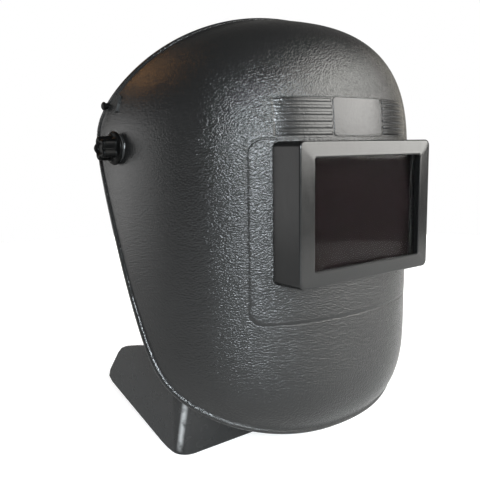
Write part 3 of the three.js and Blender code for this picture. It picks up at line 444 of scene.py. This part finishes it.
def soft_rubber(name):
    """Matt black rubber with a talc-like bloom."""
    g = Graph(name)
    bloom = g.noise(0.003, detail=6.0, roughness=0.7)
    colour = g.mix(g.span(bloom, 0.45, 0.8), grey(0.012), grey(0.05))
    gloss = g.span(bloom, 0.3, 0.8, 0.62, 0.85)
    normal = g.bump(g.noise(0.0004, detail=3.0), 0.00002)
    return g.finish(Base_Color=colour, Roughness=gloss, Normal=normal)


def pad_cloth(name):
    """Brushed knit over foam, dark blue-grey."""
    g = Graph(name)

    def stitches(scale, way):
        inputs = {"Vector": g.place, "Scale": scale, "Distortion": 1.5}
        return g.add("ShaderNodeTexWave", inputs, bands_direction=way).outputs["Fac"]

    knit = g.math("MULTIPLY", stitches(260.0, "Z"), stitches(300.0, "DIAGONAL"))
    fuzz = g.noise(0.0007, detail=4.0, roughness=0.7)
    clouds = g.noise(0.02, detail=3.0)
    base = g.mix(clouds, (0.035, 0.040, 0.055, 1), (0.055, 0.062, 0.080, 1))
    colour = g.mix(g.math("MULTIPLY", knit, 0.6), base, (0.12, 0.13, 0.16, 1))
    normal = g.bump(g.math("ADD", knit, fuzz), 0.00022)
    g.shader.inputs["Sheen Weight"].default_value = 0.35
    gloss = g.span(fuzz, 0.3, 0.7, 0.82, 0.97)
    return g.finish(Base_Color=colour, Roughness=gloss, Normal=normal)


def studio_floor(name):
    """Pale floor that fades into the white backdrop with distance, and lights the object only a little."""
    g = Graph(name)
    colour = g.mix(g.noise(0.15, detail=2.0), grey(0.60), grey(0.63))
    distance = g.add("ShaderNodeVectorMath", {0: g.place}, operation="LENGTH").outputs["Value"]
    g.shader.inputs["Emission Color"].default_value = (1, 1, 1, 1)
    seen = g.add("ShaderNodeLightPath").outputs["Is Camera Ray"]
    glow = g.math("MULTIPLY", g.span(distance, 0.25, 0.95, 0.62, 0.98), g.span(seen, 0.0, 1.0, 0.15, 1.0))
    g.feed(g.shader.inputs["Emission Strength"], glow)
    return g.finish(Base_Color=colour, Roughness=0.7)


SLOT_MATERIALS = {
    "shell_plastic": grained_shell("shell_grain"),
    "box_plastic": moulded_plastic("box_satin", 0.005, 0.20),
    "guard_plastic": folded_guard("guard_satin"),
    "knob_plastic": moulded_plastic("knob_gloss", 0.002, 0.28, wear=0.15, shine=0.05),
    "headgear_plastic": moulded_plastic("headgear_satin", 0.020, 0.36, grain=0.00002),
    "clear_plastic": clear_sheet("cover_clear"),
    "filter_glass": filter_glass("filter_dark"),
    "rubber": soft_rubber("seal_rubber"),
    "steel": plated_steel("zinc_steel"),
    "foam_cloth": pad_cloth("pad_knit"),
}

# ---------------------------------------------------------------- mesh helpers


def new_piece(name, vertices, faces, slot, body, replaced=()):
    """A smooth-shaded mesh piece from millimetre vertices, riding on a body."""
    mesh = bpy.data.meshes.new(name)
    mesh.from_pydata((np.asarray(vertices) * MM).tolist(), [], faces)
    mesh.update()
    tidy = bmesh.new()
    tidy.from_mesh(mesh)
    bmesh.ops.remove_doubles(tidy, verts=tidy.verts, dist=1e-6)
    bmesh.ops.recalc_face_normals(tidy, faces=tidy.faces)
    tidy.to_mesh(mesh)
    tidy.free()
    mesh.shade_smooth()
    piece = bpy.data.objects.new(name, mesh)
    bpy.context.scene.collection.objects.link(piece)
    mesh.materials.append(SLOT_MATERIALS[slot])
    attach(piece, body)
    if replaced:
        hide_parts(*replaced)
    return piece


def loft(rings, closed=False, capped=False):
    """Vertices and quads through rings of equally many points; closed joins the last to the first."""
    count = len(rings[0])
    vertices = np.concatenate(rings)
    faces = []
    last = len(rings) if closed else len(rings) - 1
    for i in range(last):
        low = i * count
        high = (i + 1) % len(rings) * count
        for j in range(count):
            k = (j + 1) % count
            faces.append((low + j, low + k, high + k, high + j))
    if capped:
        faces.append(tuple(range(count)))
        faces.append(tuple(reversed(range((len(rings) - 1) * count, len(rings) * count))))
    return vertices, faces


def joined(parts):
    """Several (vertices, faces) pairs as one."""
    vertices, faces, start = [], [], 0
    for part_vertices, part_faces in parts:
        vertices.append(np.asarray(part_vertices))
        faces.extend(tuple(v + start for v in face) for face in part_faces)
        start += len(part_vertices)
    return np.concatenate(vertices), faces


def smooth_by_angle(limit):
    """Node group that welds a CAD mesh, drops its flat normals and shades it smooth between sharp edges."""
    group = bpy.data.node_groups.new("smooth_by_angle", "GeometryNodeTree")
    group.interface.new_socket("Geometry", in_out="INPUT", socket_type="NodeSocketGeometry")
    group.interface.new_socket("Geometry", in_out="OUTPUT", socket_type="NodeSocketGeometry")
    start = group.nodes.new("NodeGroupInput")
    end = group.nodes.new("NodeGroupOutput")
    weld = group.nodes.new("GeometryNodeMergeByDistance")
    weld.inputs["Distance"].default_value = 0.01 * MM
    forget = group.nodes.new("GeometryNodeRemoveAttribute")
    forget.inputs["Name"].default_value = "custom_normal"
    faces = group.nodes.new("GeometryNodeSetShadeSmooth")
    faces.domain = "FACE"
    edges = group.nodes.new("GeometryNodeSetShadeSmooth")
    edges.domain = "EDGE"
    angle = group.nodes.new("GeometryNodeInputMeshEdgeAngle")
    soft = group.nodes.new("FunctionNodeCompare")
    soft.operation = "LESS_THAN"
    soft.inputs["B"].default_value = math.radians(limit)
    links = group.links
    links.new(start.outputs[0], weld.inputs["Geometry"])
    links.new(weld.outputs[0], forget.inputs["Geometry"])
    links.new(forget.outputs[0], faces.inputs["Geometry"])
    links.new(faces.outputs[0], edges.inputs["Geometry"])
    links.new(angle.outputs["Unsigned Angle"], soft.inputs["A"])
    links.new(soft.outputs[0], edges.inputs["Shade Smooth"])
    links.new(edges.outputs[0], end.inputs[0])
    return group


# ---------------------------------------------------------------- shell form


def section(z, offset=0.0):
    """Half-width and depth of the form's horizontal section at height z, grown by offset."""
    f = FORM
    up = np.clip((z - f["dome_start"]) / (f["dome_height"] + offset), 0, 1)
    down = np.clip((f["chin_start"] - z) / (f["chin_height"] + offset), 0, 1)

    def narrow(t, power):
        return (1 - t**power) ** (1 / power)

    half = (f["half_width"] + offset) * narrow(up, f["dome_width_power"])
    deep = (f["depth"] + offset) * narrow(up, f["dome_depth_power"])
    return half * narrow(down, f["chin_width_power"]), deep * narrow(down, f["chin_depth_power"])


def form_level(points, offset=0.0):
    """Below 1 inside the form grown by offset, above 1 outside."""
    half, deep = section(points[:, 2], offset)
    n = FORM["roundness"]
    half = np.maximum(half, 1e-6)
    deep = np.maximum(deep, 1e-6)
    return np.abs(points[:, 0] / half) ** n + np.abs((points[:, 1] - FORM["middle"]) / deep) ** n


def bisect(inside, count, far, steps=44):
    """For each of count items, the largest value up to far that is still inside."""
    low = np.zeros(count)
    high = np.full(count, float(far))
    for _ in range(steps):
        middle = (low + high) / 2
        keep = inside(middle)
        low = np.where(keep, middle, low)
        high = np.where(keep, high, middle)
    return low


def directions(tilt, turn):
    """Unit rays from the form's centre: tilt away from -Y, turn round the Y axis."""
    across = np.sin(tilt)
    return np.stack([across * np.cos(turn), -np.cos(tilt), across * np.sin(turn)], axis=1)


def on_form(rays, offset=0.0):
    """Where rays from the form's centre leave the form grown by offset."""

    def inside(reach):
        return form_level(FORM_CENTRE + rays * reach[:, None], offset) < 1

    return FORM_CENTRE + rays * bisect(inside, len(rays), far=300)[:, None]


def form_normal(points):
    """Outward unit normals of the form."""
    step = 0.05
    slope = [form_level(points + step * axis) - form_level(points - step * axis) for axis in np.eye(3)]
    normal = np.stack(slope, axis=1)
    return normal / np.linalg.norm(normal, axis=1, keepdims=True)


def form_front(x, z, offset=0.0):
    """Y of the front of the form at (x, z)."""
    half, deep = section(np.asarray(z, float), offset)
    n = FORM["roundness"]
    share = np.clip(1 - np.abs(np.asarray(x, float) / half) ** n, 0, 1)
    return FORM["middle"] - deep * share ** (1 / n)


def soft_min(a, b, blend):
    """Smaller of two values, rounded off where they are about equal."""
    return (a + b - np.hypot(a - b, blend)) / 2


def rim_y(z):
    """Y of the rim seen from the side: a line above the ear, one below it and one under the chin."""
    r = RIM
    upper = r["ear_y"] + (z - r["ear_z"]) * (r["top_y"] - r["ear_y"]) / (r["top_z"] - r["ear_z"])
    lower = r["ear_y"] + (z - r["ear_z"]) * (r["chin_y"] - r["ear_y"]) / (r["chin_z"] - r["ear_z"])
    under = r["under_y"] + (z - r["under_z"]) * r["under_slope"]
    return soft_min(soft_min(upper, lower, r["blend"]), under, r["under_blend"])


def in_rounded(x, z, half_width, half_height, corner):
    """True inside a rounded rectangle about the origin."""
    dx = np.maximum(np.abs(x) - (half_width - corner), 0)
    dz = np.maximum(np.abs(z) - (half_height - corner), 0)
    return (np.abs(x) < half_width) & (np.abs(z) < half_height) & (np.hypot(dx, dz) < corner)


# ---------------------------------------------------------------- helmet shell


def shell_outlines(turn):
    """Tilt angles of the window hole, the front panel and the rim, for every turn."""
    door = [BARREL["width"] / 2 + DOOR_GAP, BARREL["height"] / 2 + DOOR_GAP, BARREL["corner"] + DOOR_GAP]
    middle = (PANEL["top"] + PANEL["bottom"]) / 2
    panel = [PANEL["half_width"], (PANEL["top"] - PANEL["bottom"]) / 2, PANEL["corner"]]

    def before_door(tilt):
        p = on_form(directions(tilt, turn))
        return in_rounded(p[:, 0], p[:, 2] - WINDOW_Z, *door) & (p[:, 1] < 0)

    def before_panel(tilt):
        p = on_form(directions(tilt, turn))
        return in_rounded(p[:, 0], p[:, 2] - middle, *panel) & (p[:, 1] < 0)

    def before_rim(tilt):
        p = on_form(directions(tilt, turn), BEAD["offset"])
        return p[:, 1] < rim_y(p[:, 2])

    outlines = (before_door, before_panel, before_rim)
    return [bisect(before, len(turn), far=math.pi, steps=24) for before in outlines]


def shell_skin(around=400):
    """Closed wall of the shell: outside, rolled rim, inside and the edge of the window hole."""
    turn = np.linspace(0, 2 * math.pi, around, endpoint=False)
    door, panel, rim = shell_outlines(turn)

    def ring(tilt, offset):
        return on_form(directions(tilt, turn), offset)

    rings = [ring(door, -WALL / 2)]
    inner_panel = panel - PANEL["step"] / 2 / MEAN_RADIUS
    outer_panel = panel + PANEL["step"] / 2 / MEAN_RADIUS
    for share in np.linspace(0, 1, 16):
        rings.append(ring(door + (inner_panel - door) * share, PANEL["lift"]))
    rings.append(ring(panel, -PANEL["groove"]))
    outer_end = rim - BEAD["outer_lead"] / MEAN_RADIUS
    for share in np.linspace(0, 1, 90):
        rings.append(ring(outer_panel + (outer_end - outer_panel) * share, 0.0))

    centre = ring(rim, BEAD["offset"])
    out = form_normal(centre)
    along = np.roll(centre, -1, axis=0) - np.roll(centre, 1, axis=0)
    back = np.cross(out, along)
    back /= np.linalg.norm(back, axis=1, keepdims=True)
    back *= np.sign(back[:, 1:2] + 1e-9)          # always towards +Y
    leaves_outside = -math.acos(-BEAD["offset"] / BEAD["radius"])
    meets_inside = math.pi * 0.98
    for angle in np.linspace(leaves_outside, meets_inside, 15):
        rings.append(centre + BEAD["radius"] * (math.cos(angle) * out + math.sin(angle) * back))
    inner_end = rim - BEAD["inner_lead"] / MEAN_RADIUS
    for share in np.linspace(1, 0, 48):
        rings.append(ring(door + (inner_end - door) * share, -WALL))
    return loft(rings, closed=True)


def raised_rib(x0, x1, z_middle, width, stations=44):
    """Rounded rib on the front of the shell from x0 to x1, where it sinks into the surface."""
    rings = []
    for x in np.linspace(x0, x1, stations + 1):
        height = RIBS["rise"] * min(1.0, abs(x1 - x) / RIBS["taper"])
        points = []
        for across, up in RIB_PROFILE:
            z = z_middle + across * width
            lift = up * height if up > 0 else -SINK
            points.append((x, float(form_front(x, z, lift)), z))
        rings.append(np.array(points))
    return loft(rings, capped=True)


def raised_plate():
    """Blank label plate standing proud of the shell, with rounded edges."""
    rise = PLATE["rise"]
    wide = PLATE["half_width"]
    high = (BAND["top"] - BAND["bottom"]) / 2
    corner = PLATE["corner"]
    rings = [plate_ring(wide, high, corner, -SINK)]
    for inset, share in PLATE_EDGE:
        rings.append(plate_ring(wide - inset, high - inset, corner, rise * share))
    last_inset = PLATE_EDGE[-1][0]
    for share in np.linspace(0.85, 0.02, 10):
        rings.append(plate_ring(
            (wide - last_inset) * share, (high - last_inset) * share, corner * share, rise))
    return loft(rings, capped=True)


def rounded_ring(half_width, half_height, corner, around):
    """Points round a rounded rectangle about the origin, evenly spread by side and corner."""
    per_side = around // 4 * 3 // 4
    per_corner = around // 4 - per_side
    points = []
    flat_x = half_width - corner
    flat_z = half_height - corner
    corners = [(flat_x, flat_z), (-flat_x, flat_z), (-flat_x, -flat_z), (flat_x, -flat_z)]

    def on_corner(centre, angle):
        return np.array([centre[0] + corner * math.cos(angle), centre[1] + corner * math.sin(angle)])

    for i, centre in enumerate(corners):
        for k in range(per_corner):
            points.append(on_corner(centre, math.pi / 2 * (i + k / (per_corner - 1))))
        start = on_corner(centre, math.pi / 2 * (i + 1))
        end = on_corner(corners[(i + 1) % 4], math.pi / 2 * (i + 1))
        for k in range(per_side):
            points.append(start + (end - start) * (k + 1) / (per_side + 1))
    return np.array(points)


def plate_ring(half_width, half_height, corner, lift, around=96):
    """Rounded rectangle about the middle of the band, lying on the shell grown by lift."""
    flat = rounded_ring(half_width, half_height, max(corner, 0.05), around)
    z = flat[:, 1] + (BAND["bottom"] + BAND["top"]) / 2
    return np.stack([flat[:, 0], form_front(flat[:, 0], z, lift), z], axis=1)


def pivot_seat(side, around=72):
    """Round seat for the pivot, flush outside and standing in inside."""
    narrow = SEAT["radius"] - SEAT["chamfer_inset"]
    stations = [
        (SEAT["inner"], narrow), (SEAT["inner"] + SEAT["chamfer_depth"], SEAT["radius"]),
        (SEAT["outer"] - SEAT["chamfer_depth"], SEAT["radius"]), (SEAT["outer"], narrow),
    ]
    turn = np.linspace(0, 2 * math.pi, around, endpoint=False)
    rings = []
    for x, r in stations:
        rings.append(np.stack([np.full(around, side * x), r * np.cos(turn), r * np.sin(turn)], axis=1))
    return loft(rings, capped=True)


def make_shell():
    """The shell with its label plate, ribs and pivot seats, as one piece."""
    parts = [shell_skin(), raised_plate()]
    pitch = (BAND["top"] - BAND["bottom"]) / RIBS["count"]
    for side in (-1, 1):
        for i in range(RIBS["count"]):
            z = BAND["bottom"] + pitch * (i + 0.5)
            inner = side * (PLATE["half_width"] + RIBS["plate_gap"])
            outer = side * (BAND["half_width"] - RIBS["end_inset"] + RIBS["end_step"] * i)
            parts.append(raised_rib(inner, outer, z, pitch * RIBS["width_share"]))
        parts.append(pivot_seat(side))
    vertices, faces = joined(parts)
    return new_piece("shell_body", vertices, faces, "shell_plastic", "face_shell", ["helmet_shell"])


# ---------------------------------------------------------------- lens box


def box_ring(width, height, corner, y, around=176):
    """Rounded rectangle about the window at depth y, or lying on the shell where y is None."""
    flat = rounded_ring(width / 2, height / 2, corner, around)
    z = flat[:, 1] + WINDOW_Z
    if y is None:
        depth = form_front(flat[:, 0], z, PANEL["rise"] + BOX["stand_off"])
    else:
        depth = np.full(around, float(y))
    return np.stack([flat[:, 0], depth, z], axis=1)


def make_lens_box():
    """Picture-frame front whose faces slope away from the opening, side walls, and the barrel behind."""
    b = BOX
    front, edge, lip = b["front"], b["edge"], b["lip"]
    corner_y = front + b["slope"] + edge
    seat_y = box_ring(b["width"], b["height"], b["corner"], None)[:, 1].max()
    spread = 2 * b["draft"] * (seat_y - corner_y)
    rings = []
    for share in (1.0, 0.66, 0.33):
        ring = box_ring(b["width"] + spread * share, b["height"], b["corner"], None)
        ring[:, 1] += (corner_y - ring[:, 1]) * (1 - share)
        rings.append(ring)
    for angle in np.linspace(0, math.pi / 2, 6):
        inset = edge * (1 - math.cos(angle))
        y = front + b["slope"] + edge * (1 - math.sin(angle))
        corner = b["corner"] - inset * b["corner_loss"]
        rings.append(box_ring(b["width"] - 2 * inset, b["height"] - 2 * inset, corner, y))
    o = OPENING
    for share in (0.3, 0.6, 0.9):
        inset = edge + ((b["width"] - o["width"]) / 2 - edge - lip) * share
        y = front + b["slope"] * (1 - share)
        corner = b["corner"] - b["face_corner_loss"] - share
        rings.append(box_ring(b["width"] - 2 * inset, b["height"] - 2 * inset, corner, y))
    for angle in np.linspace(0, math.pi / 2, 5):
        grow = lip * (1 - math.sin(angle))
        y = front + lip * (1 - math.cos(angle))
        rings.append(box_ring(o["width"] + 2 * grow, o["height"] + 2 * grow, o["corner"] + grow, y))
    rings.append(box_ring(o["width"], o["height"], o["corner"], POCKET["front"]))
    rings.append(box_ring(POCKET["width"], POCKET["height"], POCKET["corner"], POCKET["front"]))
    rings.append(box_ring(POCKET["width"], POCKET["height"], POCKET["corner"], BARREL["rear"]))
    rings.append(box_ring(BARREL["width"], BARREL["height"], BARREL["corner"], BARREL["rear"]))
    rings.append(box_ring(BARREL["width"], BARREL["height"], BARREL["corner"], None))
    vertices, faces = loft(rings, closed=True)
    piece = new_piece("window_box", vertices, faces, "box_plastic", "face_shell", ["lens_box"])
    sharpen(piece, 50)
    return piece


def sharpen(piece, limit):
    """Keeps edges steeper than limit degrees crisp."""
    piece.data.set_sharp_from_angle(angle=math.radians(limit))


# ---------------------------------------------------------------- knobs


def star_radius(turn, lobes, outer, inner):
    """Radius of a rounded star at each turn; the power below 1 widens its lobes."""
    return inner + (outer - inner) * ((1 + np.cos(lobes * turn)) / 2) ** 0.7


def turned_rings(stations, lobes, outer, inner, around=240):
    """Rings from rows of height, share of the star and added radius; at share 0 the ring is a circle."""
    turn = np.linspace(0, 2 * math.pi, around, endpoint=False)
    star = star_radius(turn, lobes, outer, inner)
    rings = []
    for height, share, change in stations:
        radius = star * share + change
        ring = [radius * np.cos(turn), radius * np.sin(turn), np.full(around, height)]
        rings.append(np.stack(ring, axis=1))
    return rings


def make_pivot_knob(name, side, body, replaced):
    """Star knob on a round flange, its tip dished; side is 1 on the wearer's left and -1 on the right."""
    k = KNOB
    base, tip, wide = k["base"], k["tip"], k["flange"]
    flange = [
        (base, 0, wide - 0.5), (base + 0.15, 0, wide - 0.15), (base + 0.5, 0, wide),
        (base + 1.2, 0, wide), (base + 1.7, 0, wide - 0.3), (base + 2.0, 0, wide - 0.9),
    ]
    neck = [(base + 2.2, 0.5, wide / 2 - 0.3), (base + 2.7, 0.9, 1.2), (base + 3.6, 1, 0.25)]
    star = [
        (base + 5.0, 1, 0.0), (tip - 2.2, 1, -0.1), (tip - 1.0, 1, -0.3), (tip - 0.4, 1, -0.7),
        (tip - 0.05, 1, -1.4), (tip, 0.8, -0.6),
    ]
    dish = [(tip - 0.3, 0.5, 0.9), (tip - 0.8, 0, 3.6), (tip - 1.6, 0, 3.3), (tip - 1.7, 0, 1.5),
            (tip - 1.7, 0, 0.05)]
    rings = turned_rings(flange + neck + star + dish, k["lobes"], k["lobe"], k["valley"])
    placed = [np.stack([side * r[:, 2], r[:, 0], r[:, 1]], axis=1) for r in rings]
    vertices, faces = loft(placed, capped=True)
    piece = new_piece(name, vertices, faces, "knob_plastic", body, replaced)
    sharpen(piece, 60)
    return piece


def make_ratchet_knob():
    """Round knob behind the nape with a milled edge, a bore in front and a screw well at the back."""
    k = RATCHET_KNOB
    base, top, well = k["base"], k["base"] + k["thickness"], k["well"]
    bore = [(base + 2.5, 0, k["bore"]), (base, 0, k["bore"])]
    edge = [
        (base, 0.9, 0.0), (base + 0.2, 1, -0.5), (base + 0.9, 1, 0.0), (base + 5, 1, 0.0),
        (top - 2.4, 1, -0.3), (top - 1.0, 1, -0.9), (top - 0.3, 1, -1.9),
    ]
    face = [(top, 1, -3.4), (top - 0.2, 0.4, 5.0), (top - 0.6, 0, 8.0), (top - 0.8, 0, well + 0.8)]
    screw_well = [(top - 1.2, 0, well), (top - 3.0, 0, well)]
    screw_hole = [(top - 3.0, 0, k["screw"]), (top - 4.5, 0, k["screw"])]
    stations = bore + edge + face + screw_well + screw_hole
    rings = turned_rings(stations, k["lobes"], k["lobe"], k["valley"])
    placed = [np.stack([r[:, 0], r[:, 2], r[:, 1] + BAND_MIDDLE_Z], axis=1) for r in rings]
    vertices, faces = loft(placed, capped=True)
    piece = new_piece("ratchet_grip", vertices, faces, "knob_plastic", "ratchet", ["ratchet_knob"])
    sharpen(piece, 60)
    return piece


# ---------------------------------------------------------------- soft pads


def head_point(angle, radius):
    """Point round the head: angle 0 is the nape, 180 the forehead."""
    turn = math.radians(angle)
    reach = radius + (FOREHEAD_STRETCH if math.cos(turn) < 0 else 0)
    return radius * math.sin(turn), HEAD_Y + reach * math.cos(turn)


def boxed(value):
    """Sine or cosine carried outwards, so that an ellipse turns boxy."""
    return math.copysign(abs(value) ** PAD_SECTION["power"], value)


def pad_form(pad, shrink=0.5, stations=60, around=32):
    """Plump closed strip round the head with drawn-in ends, smaller by shrink so that it can swell."""
    s = PAD_SECTION
    middle = (pad["inner"] + pad["outer"]) / 2
    thick = (pad["outer"] - pad["inner"]) / 2 - shrink
    centre_z = (pad["bottom"] + pad["top"]) / 2
    high = (pad["top"] - pad["bottom"]) / 2 - shrink
    rings = []
    for i in range(stations + 1):
        share = i / stations
        angle = pad["from"] + s["end_angle"] + (pad["to"] - pad["from"] - 2 * s["end_angle"]) * share
        near_end = min(share, 1 - share) * stations / s["end_span"]
        full = math.sqrt(max(0.0, 1 - max(0.0, 1 - near_end) ** 2))
        ring = []
        for k in range(around):
            a = 2 * math.pi * k / around
            out = boxed(math.cos(a)) * thick * max(full, s["end_thickness"])
            up = boxed(math.sin(a)) * high * (s["end_height"] + (1 - s["end_height"]) * full)
            x, y = head_point(angle, middle + out)
            ring.append((x, y, centre_z + up))
        rings.append(np.array(ring))
    return loft(rings, capped=True)


def inflate(piece, voxel, pressure, cap):
    """Voxel remesh, short cloth simulation under pressure, movement capped, then one subdivision."""
    remesh = piece.modifiers.new("remesh", "REMESH")
    remesh.mode = "VOXEL"
    remesh.voxel_size = voxel
    apply_modifiers(piece)
    start = vertex_array(piece.data)
    cloth = piece.modifiers.new("cloth", "CLOTH")
    cloth.settings.use_pressure = True
    cloth.settings.uniform_pressure_force = pressure
    cloth.settings.effector_weights.gravity = 0
    cloth.settings.quality = 5
    cloth.point_cache.frame_start = 1
    cloth.point_cache.frame_end = CLOTH_FRAMES
    for number in range(1, CLOTH_FRAMES + 1):
        bpy.context.scene.frame_set(number)
    apply_modifiers(piece)
    moved = vertex_array(piece.data) - start
    length = np.linalg.norm(moved, axis=1, keepdims=True)
    moved *= np.minimum(1, cap / np.maximum(length, 1e-9))
    piece.data.vertices.foreach_set("co", (start + moved).ravel())
    bpy.context.scene.frame_set(1)
    subdivide = piece.modifiers.new("subdivide", "SUBSURF")
    subdivide.levels = subdivide.render_levels = 1
    apply_modifiers(piece)


def vertex_array(mesh):
    """The mesh's vertices, one row each."""
    flat = np.zeros(len(mesh.vertices) * 3)
    mesh.vertices.foreach_get("co", flat)
    return flat.reshape(-1, 3)


def apply_modifiers(piece):
    """Bakes the piece's modifiers into its mesh."""
    graph = bpy.context.evaluated_depsgraph_get()
    graph.update()
    result = bpy.data.meshes.new_from_object(piece.evaluated_get(graph))
    piece.modifiers.clear()
    old = piece.data
    piece.data = result
    bpy.data.meshes.remove(old)


def sew_channels(piece, pad, count):
    """Presses sewn lines across the pad and a seam along its lower and upper edge."""
    mesh = piece.data
    points = vertex_array(mesh) / MM
    stretch = np.where(points[:, 1] < HEAD_Y, FOREHEAD_STRETCH, 0)
    middle = (pad["inner"] + pad["outer"]) / 2
    dx = points[:, 0]
    dy = (points[:, 1] - HEAD_Y) * np.where(stretch > 0, middle / (middle + stretch), 1.0)
    angle = np.degrees(np.arctan2(dx, dy)) % 360
    if pad["from"] < 0:
        angle = np.where(angle > 180, angle - 360, angle)
    turn = np.radians(angle)
    radial = np.stack([np.sin(turn), np.cos(turn), np.zeros_like(turn)], axis=1)
    radius = np.hypot(dx, dy)
    pressed = np.zeros(len(points))
    for i in range(1, count):
        line = pad["from"] + (pad["to"] - pad["from"]) * i / count
        distance = np.radians(angle - line) * middle
        pressed = np.maximum(pressed, np.exp(-((distance / SEAM["channel_width"]) ** 2)))
    for edge in (pad["bottom"] + SEAM["margin"], pad["top"] - SEAM["margin"]):
        pressed = np.maximum(pressed, np.exp(-(((points[:, 2] - edge) / SEAM["edge_width"]) ** 2)))
    side = np.clip((radius - middle) / SEAM["side_blend"], -1, 1)
    points -= radial * (side * pressed * SEAM["depth"])[:, None]
    mesh.vertices.foreach_set("co", (points * MM).ravel())
    mesh.update()


def make_pad(name, pad, body, replaced, channels):
    """Padded cloth strip, inflated and then sewn across into that many channels."""
    vertices, faces = pad_form(pad)
    piece = new_piece(name, vertices, faces, "foam_cloth", body)
    inflate(piece, voxel=1.9 * MM, pressure=4.0, cap=0.4 * MM)
    sew_channels(piece, pad, channels)
    piece.data.shade_smooth()
    piece.data.materials.clear()
    piece.data.materials.append(SLOT_MATERIALS["foam_cloth"])
    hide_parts(replaced)
    return piece


# ---------------------------------------------------------------- carried-over CAD nodes and the stage


def dress_cad_nodes():
    """Smooth shading and a procedural material for every CAD node."""
    group = smooth_by_angle(CAD_SMOOTH_ANGLE)
    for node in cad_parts.values():
        slot = node.material_slots[0].material.name.split(".")[0]
        node.material_slots[0].material = SLOT_MATERIALS[slot]
        node.modifiers.new("smooth", "NODES").node_group = group


def add_floor(around=96):
    """Round floor just under the object, closed in the middle."""
    level = np.full(around, CAD_BOX[0].z - FLOOR["gap"])
    turn = np.linspace(0, 2 * math.pi, around, endpoint=False)
    rings = [np.stack([r * np.cos(turn), r * np.sin(turn), level], axis=1) for r in FLOOR["radii"]]
    vertices, faces = loft(rings)
    faces.append(tuple(range(around)))
    mesh = bpy.data.meshes.new("floor")
    mesh.from_pydata(vertices.tolist(), [], faces)
    mesh.materials.append(studio_floor("floor_white"))
    floor = bpy.data.objects.new("floor", mesh)
    bpy.context.scene.collection.objects.link(floor)


# ---------------------------------------------------------------- the scene

add_camera()
add_world()
dress_cad_nodes()
make_shell()
make_lens_box()
make_pivot_knob("tilt_knob_left", 1, "left_knob", ["pivot_knob_left"])
make_pivot_knob("tilt_knob_right", -1, "right_knob", ["pivot_knob_right"])
make_ratchet_knob()
make_pad("brow_pad", SWEATBAND, "headgear", "sweatband", channels=6)
make_pad("nape_cushion", NAPE_PAD, "headgear", "nape_pad", channels=3)
add_floor()

add_lights()
bpy.context.scene.view_settings.view_transform = "Standard"

bpy.context.view_layer.update()
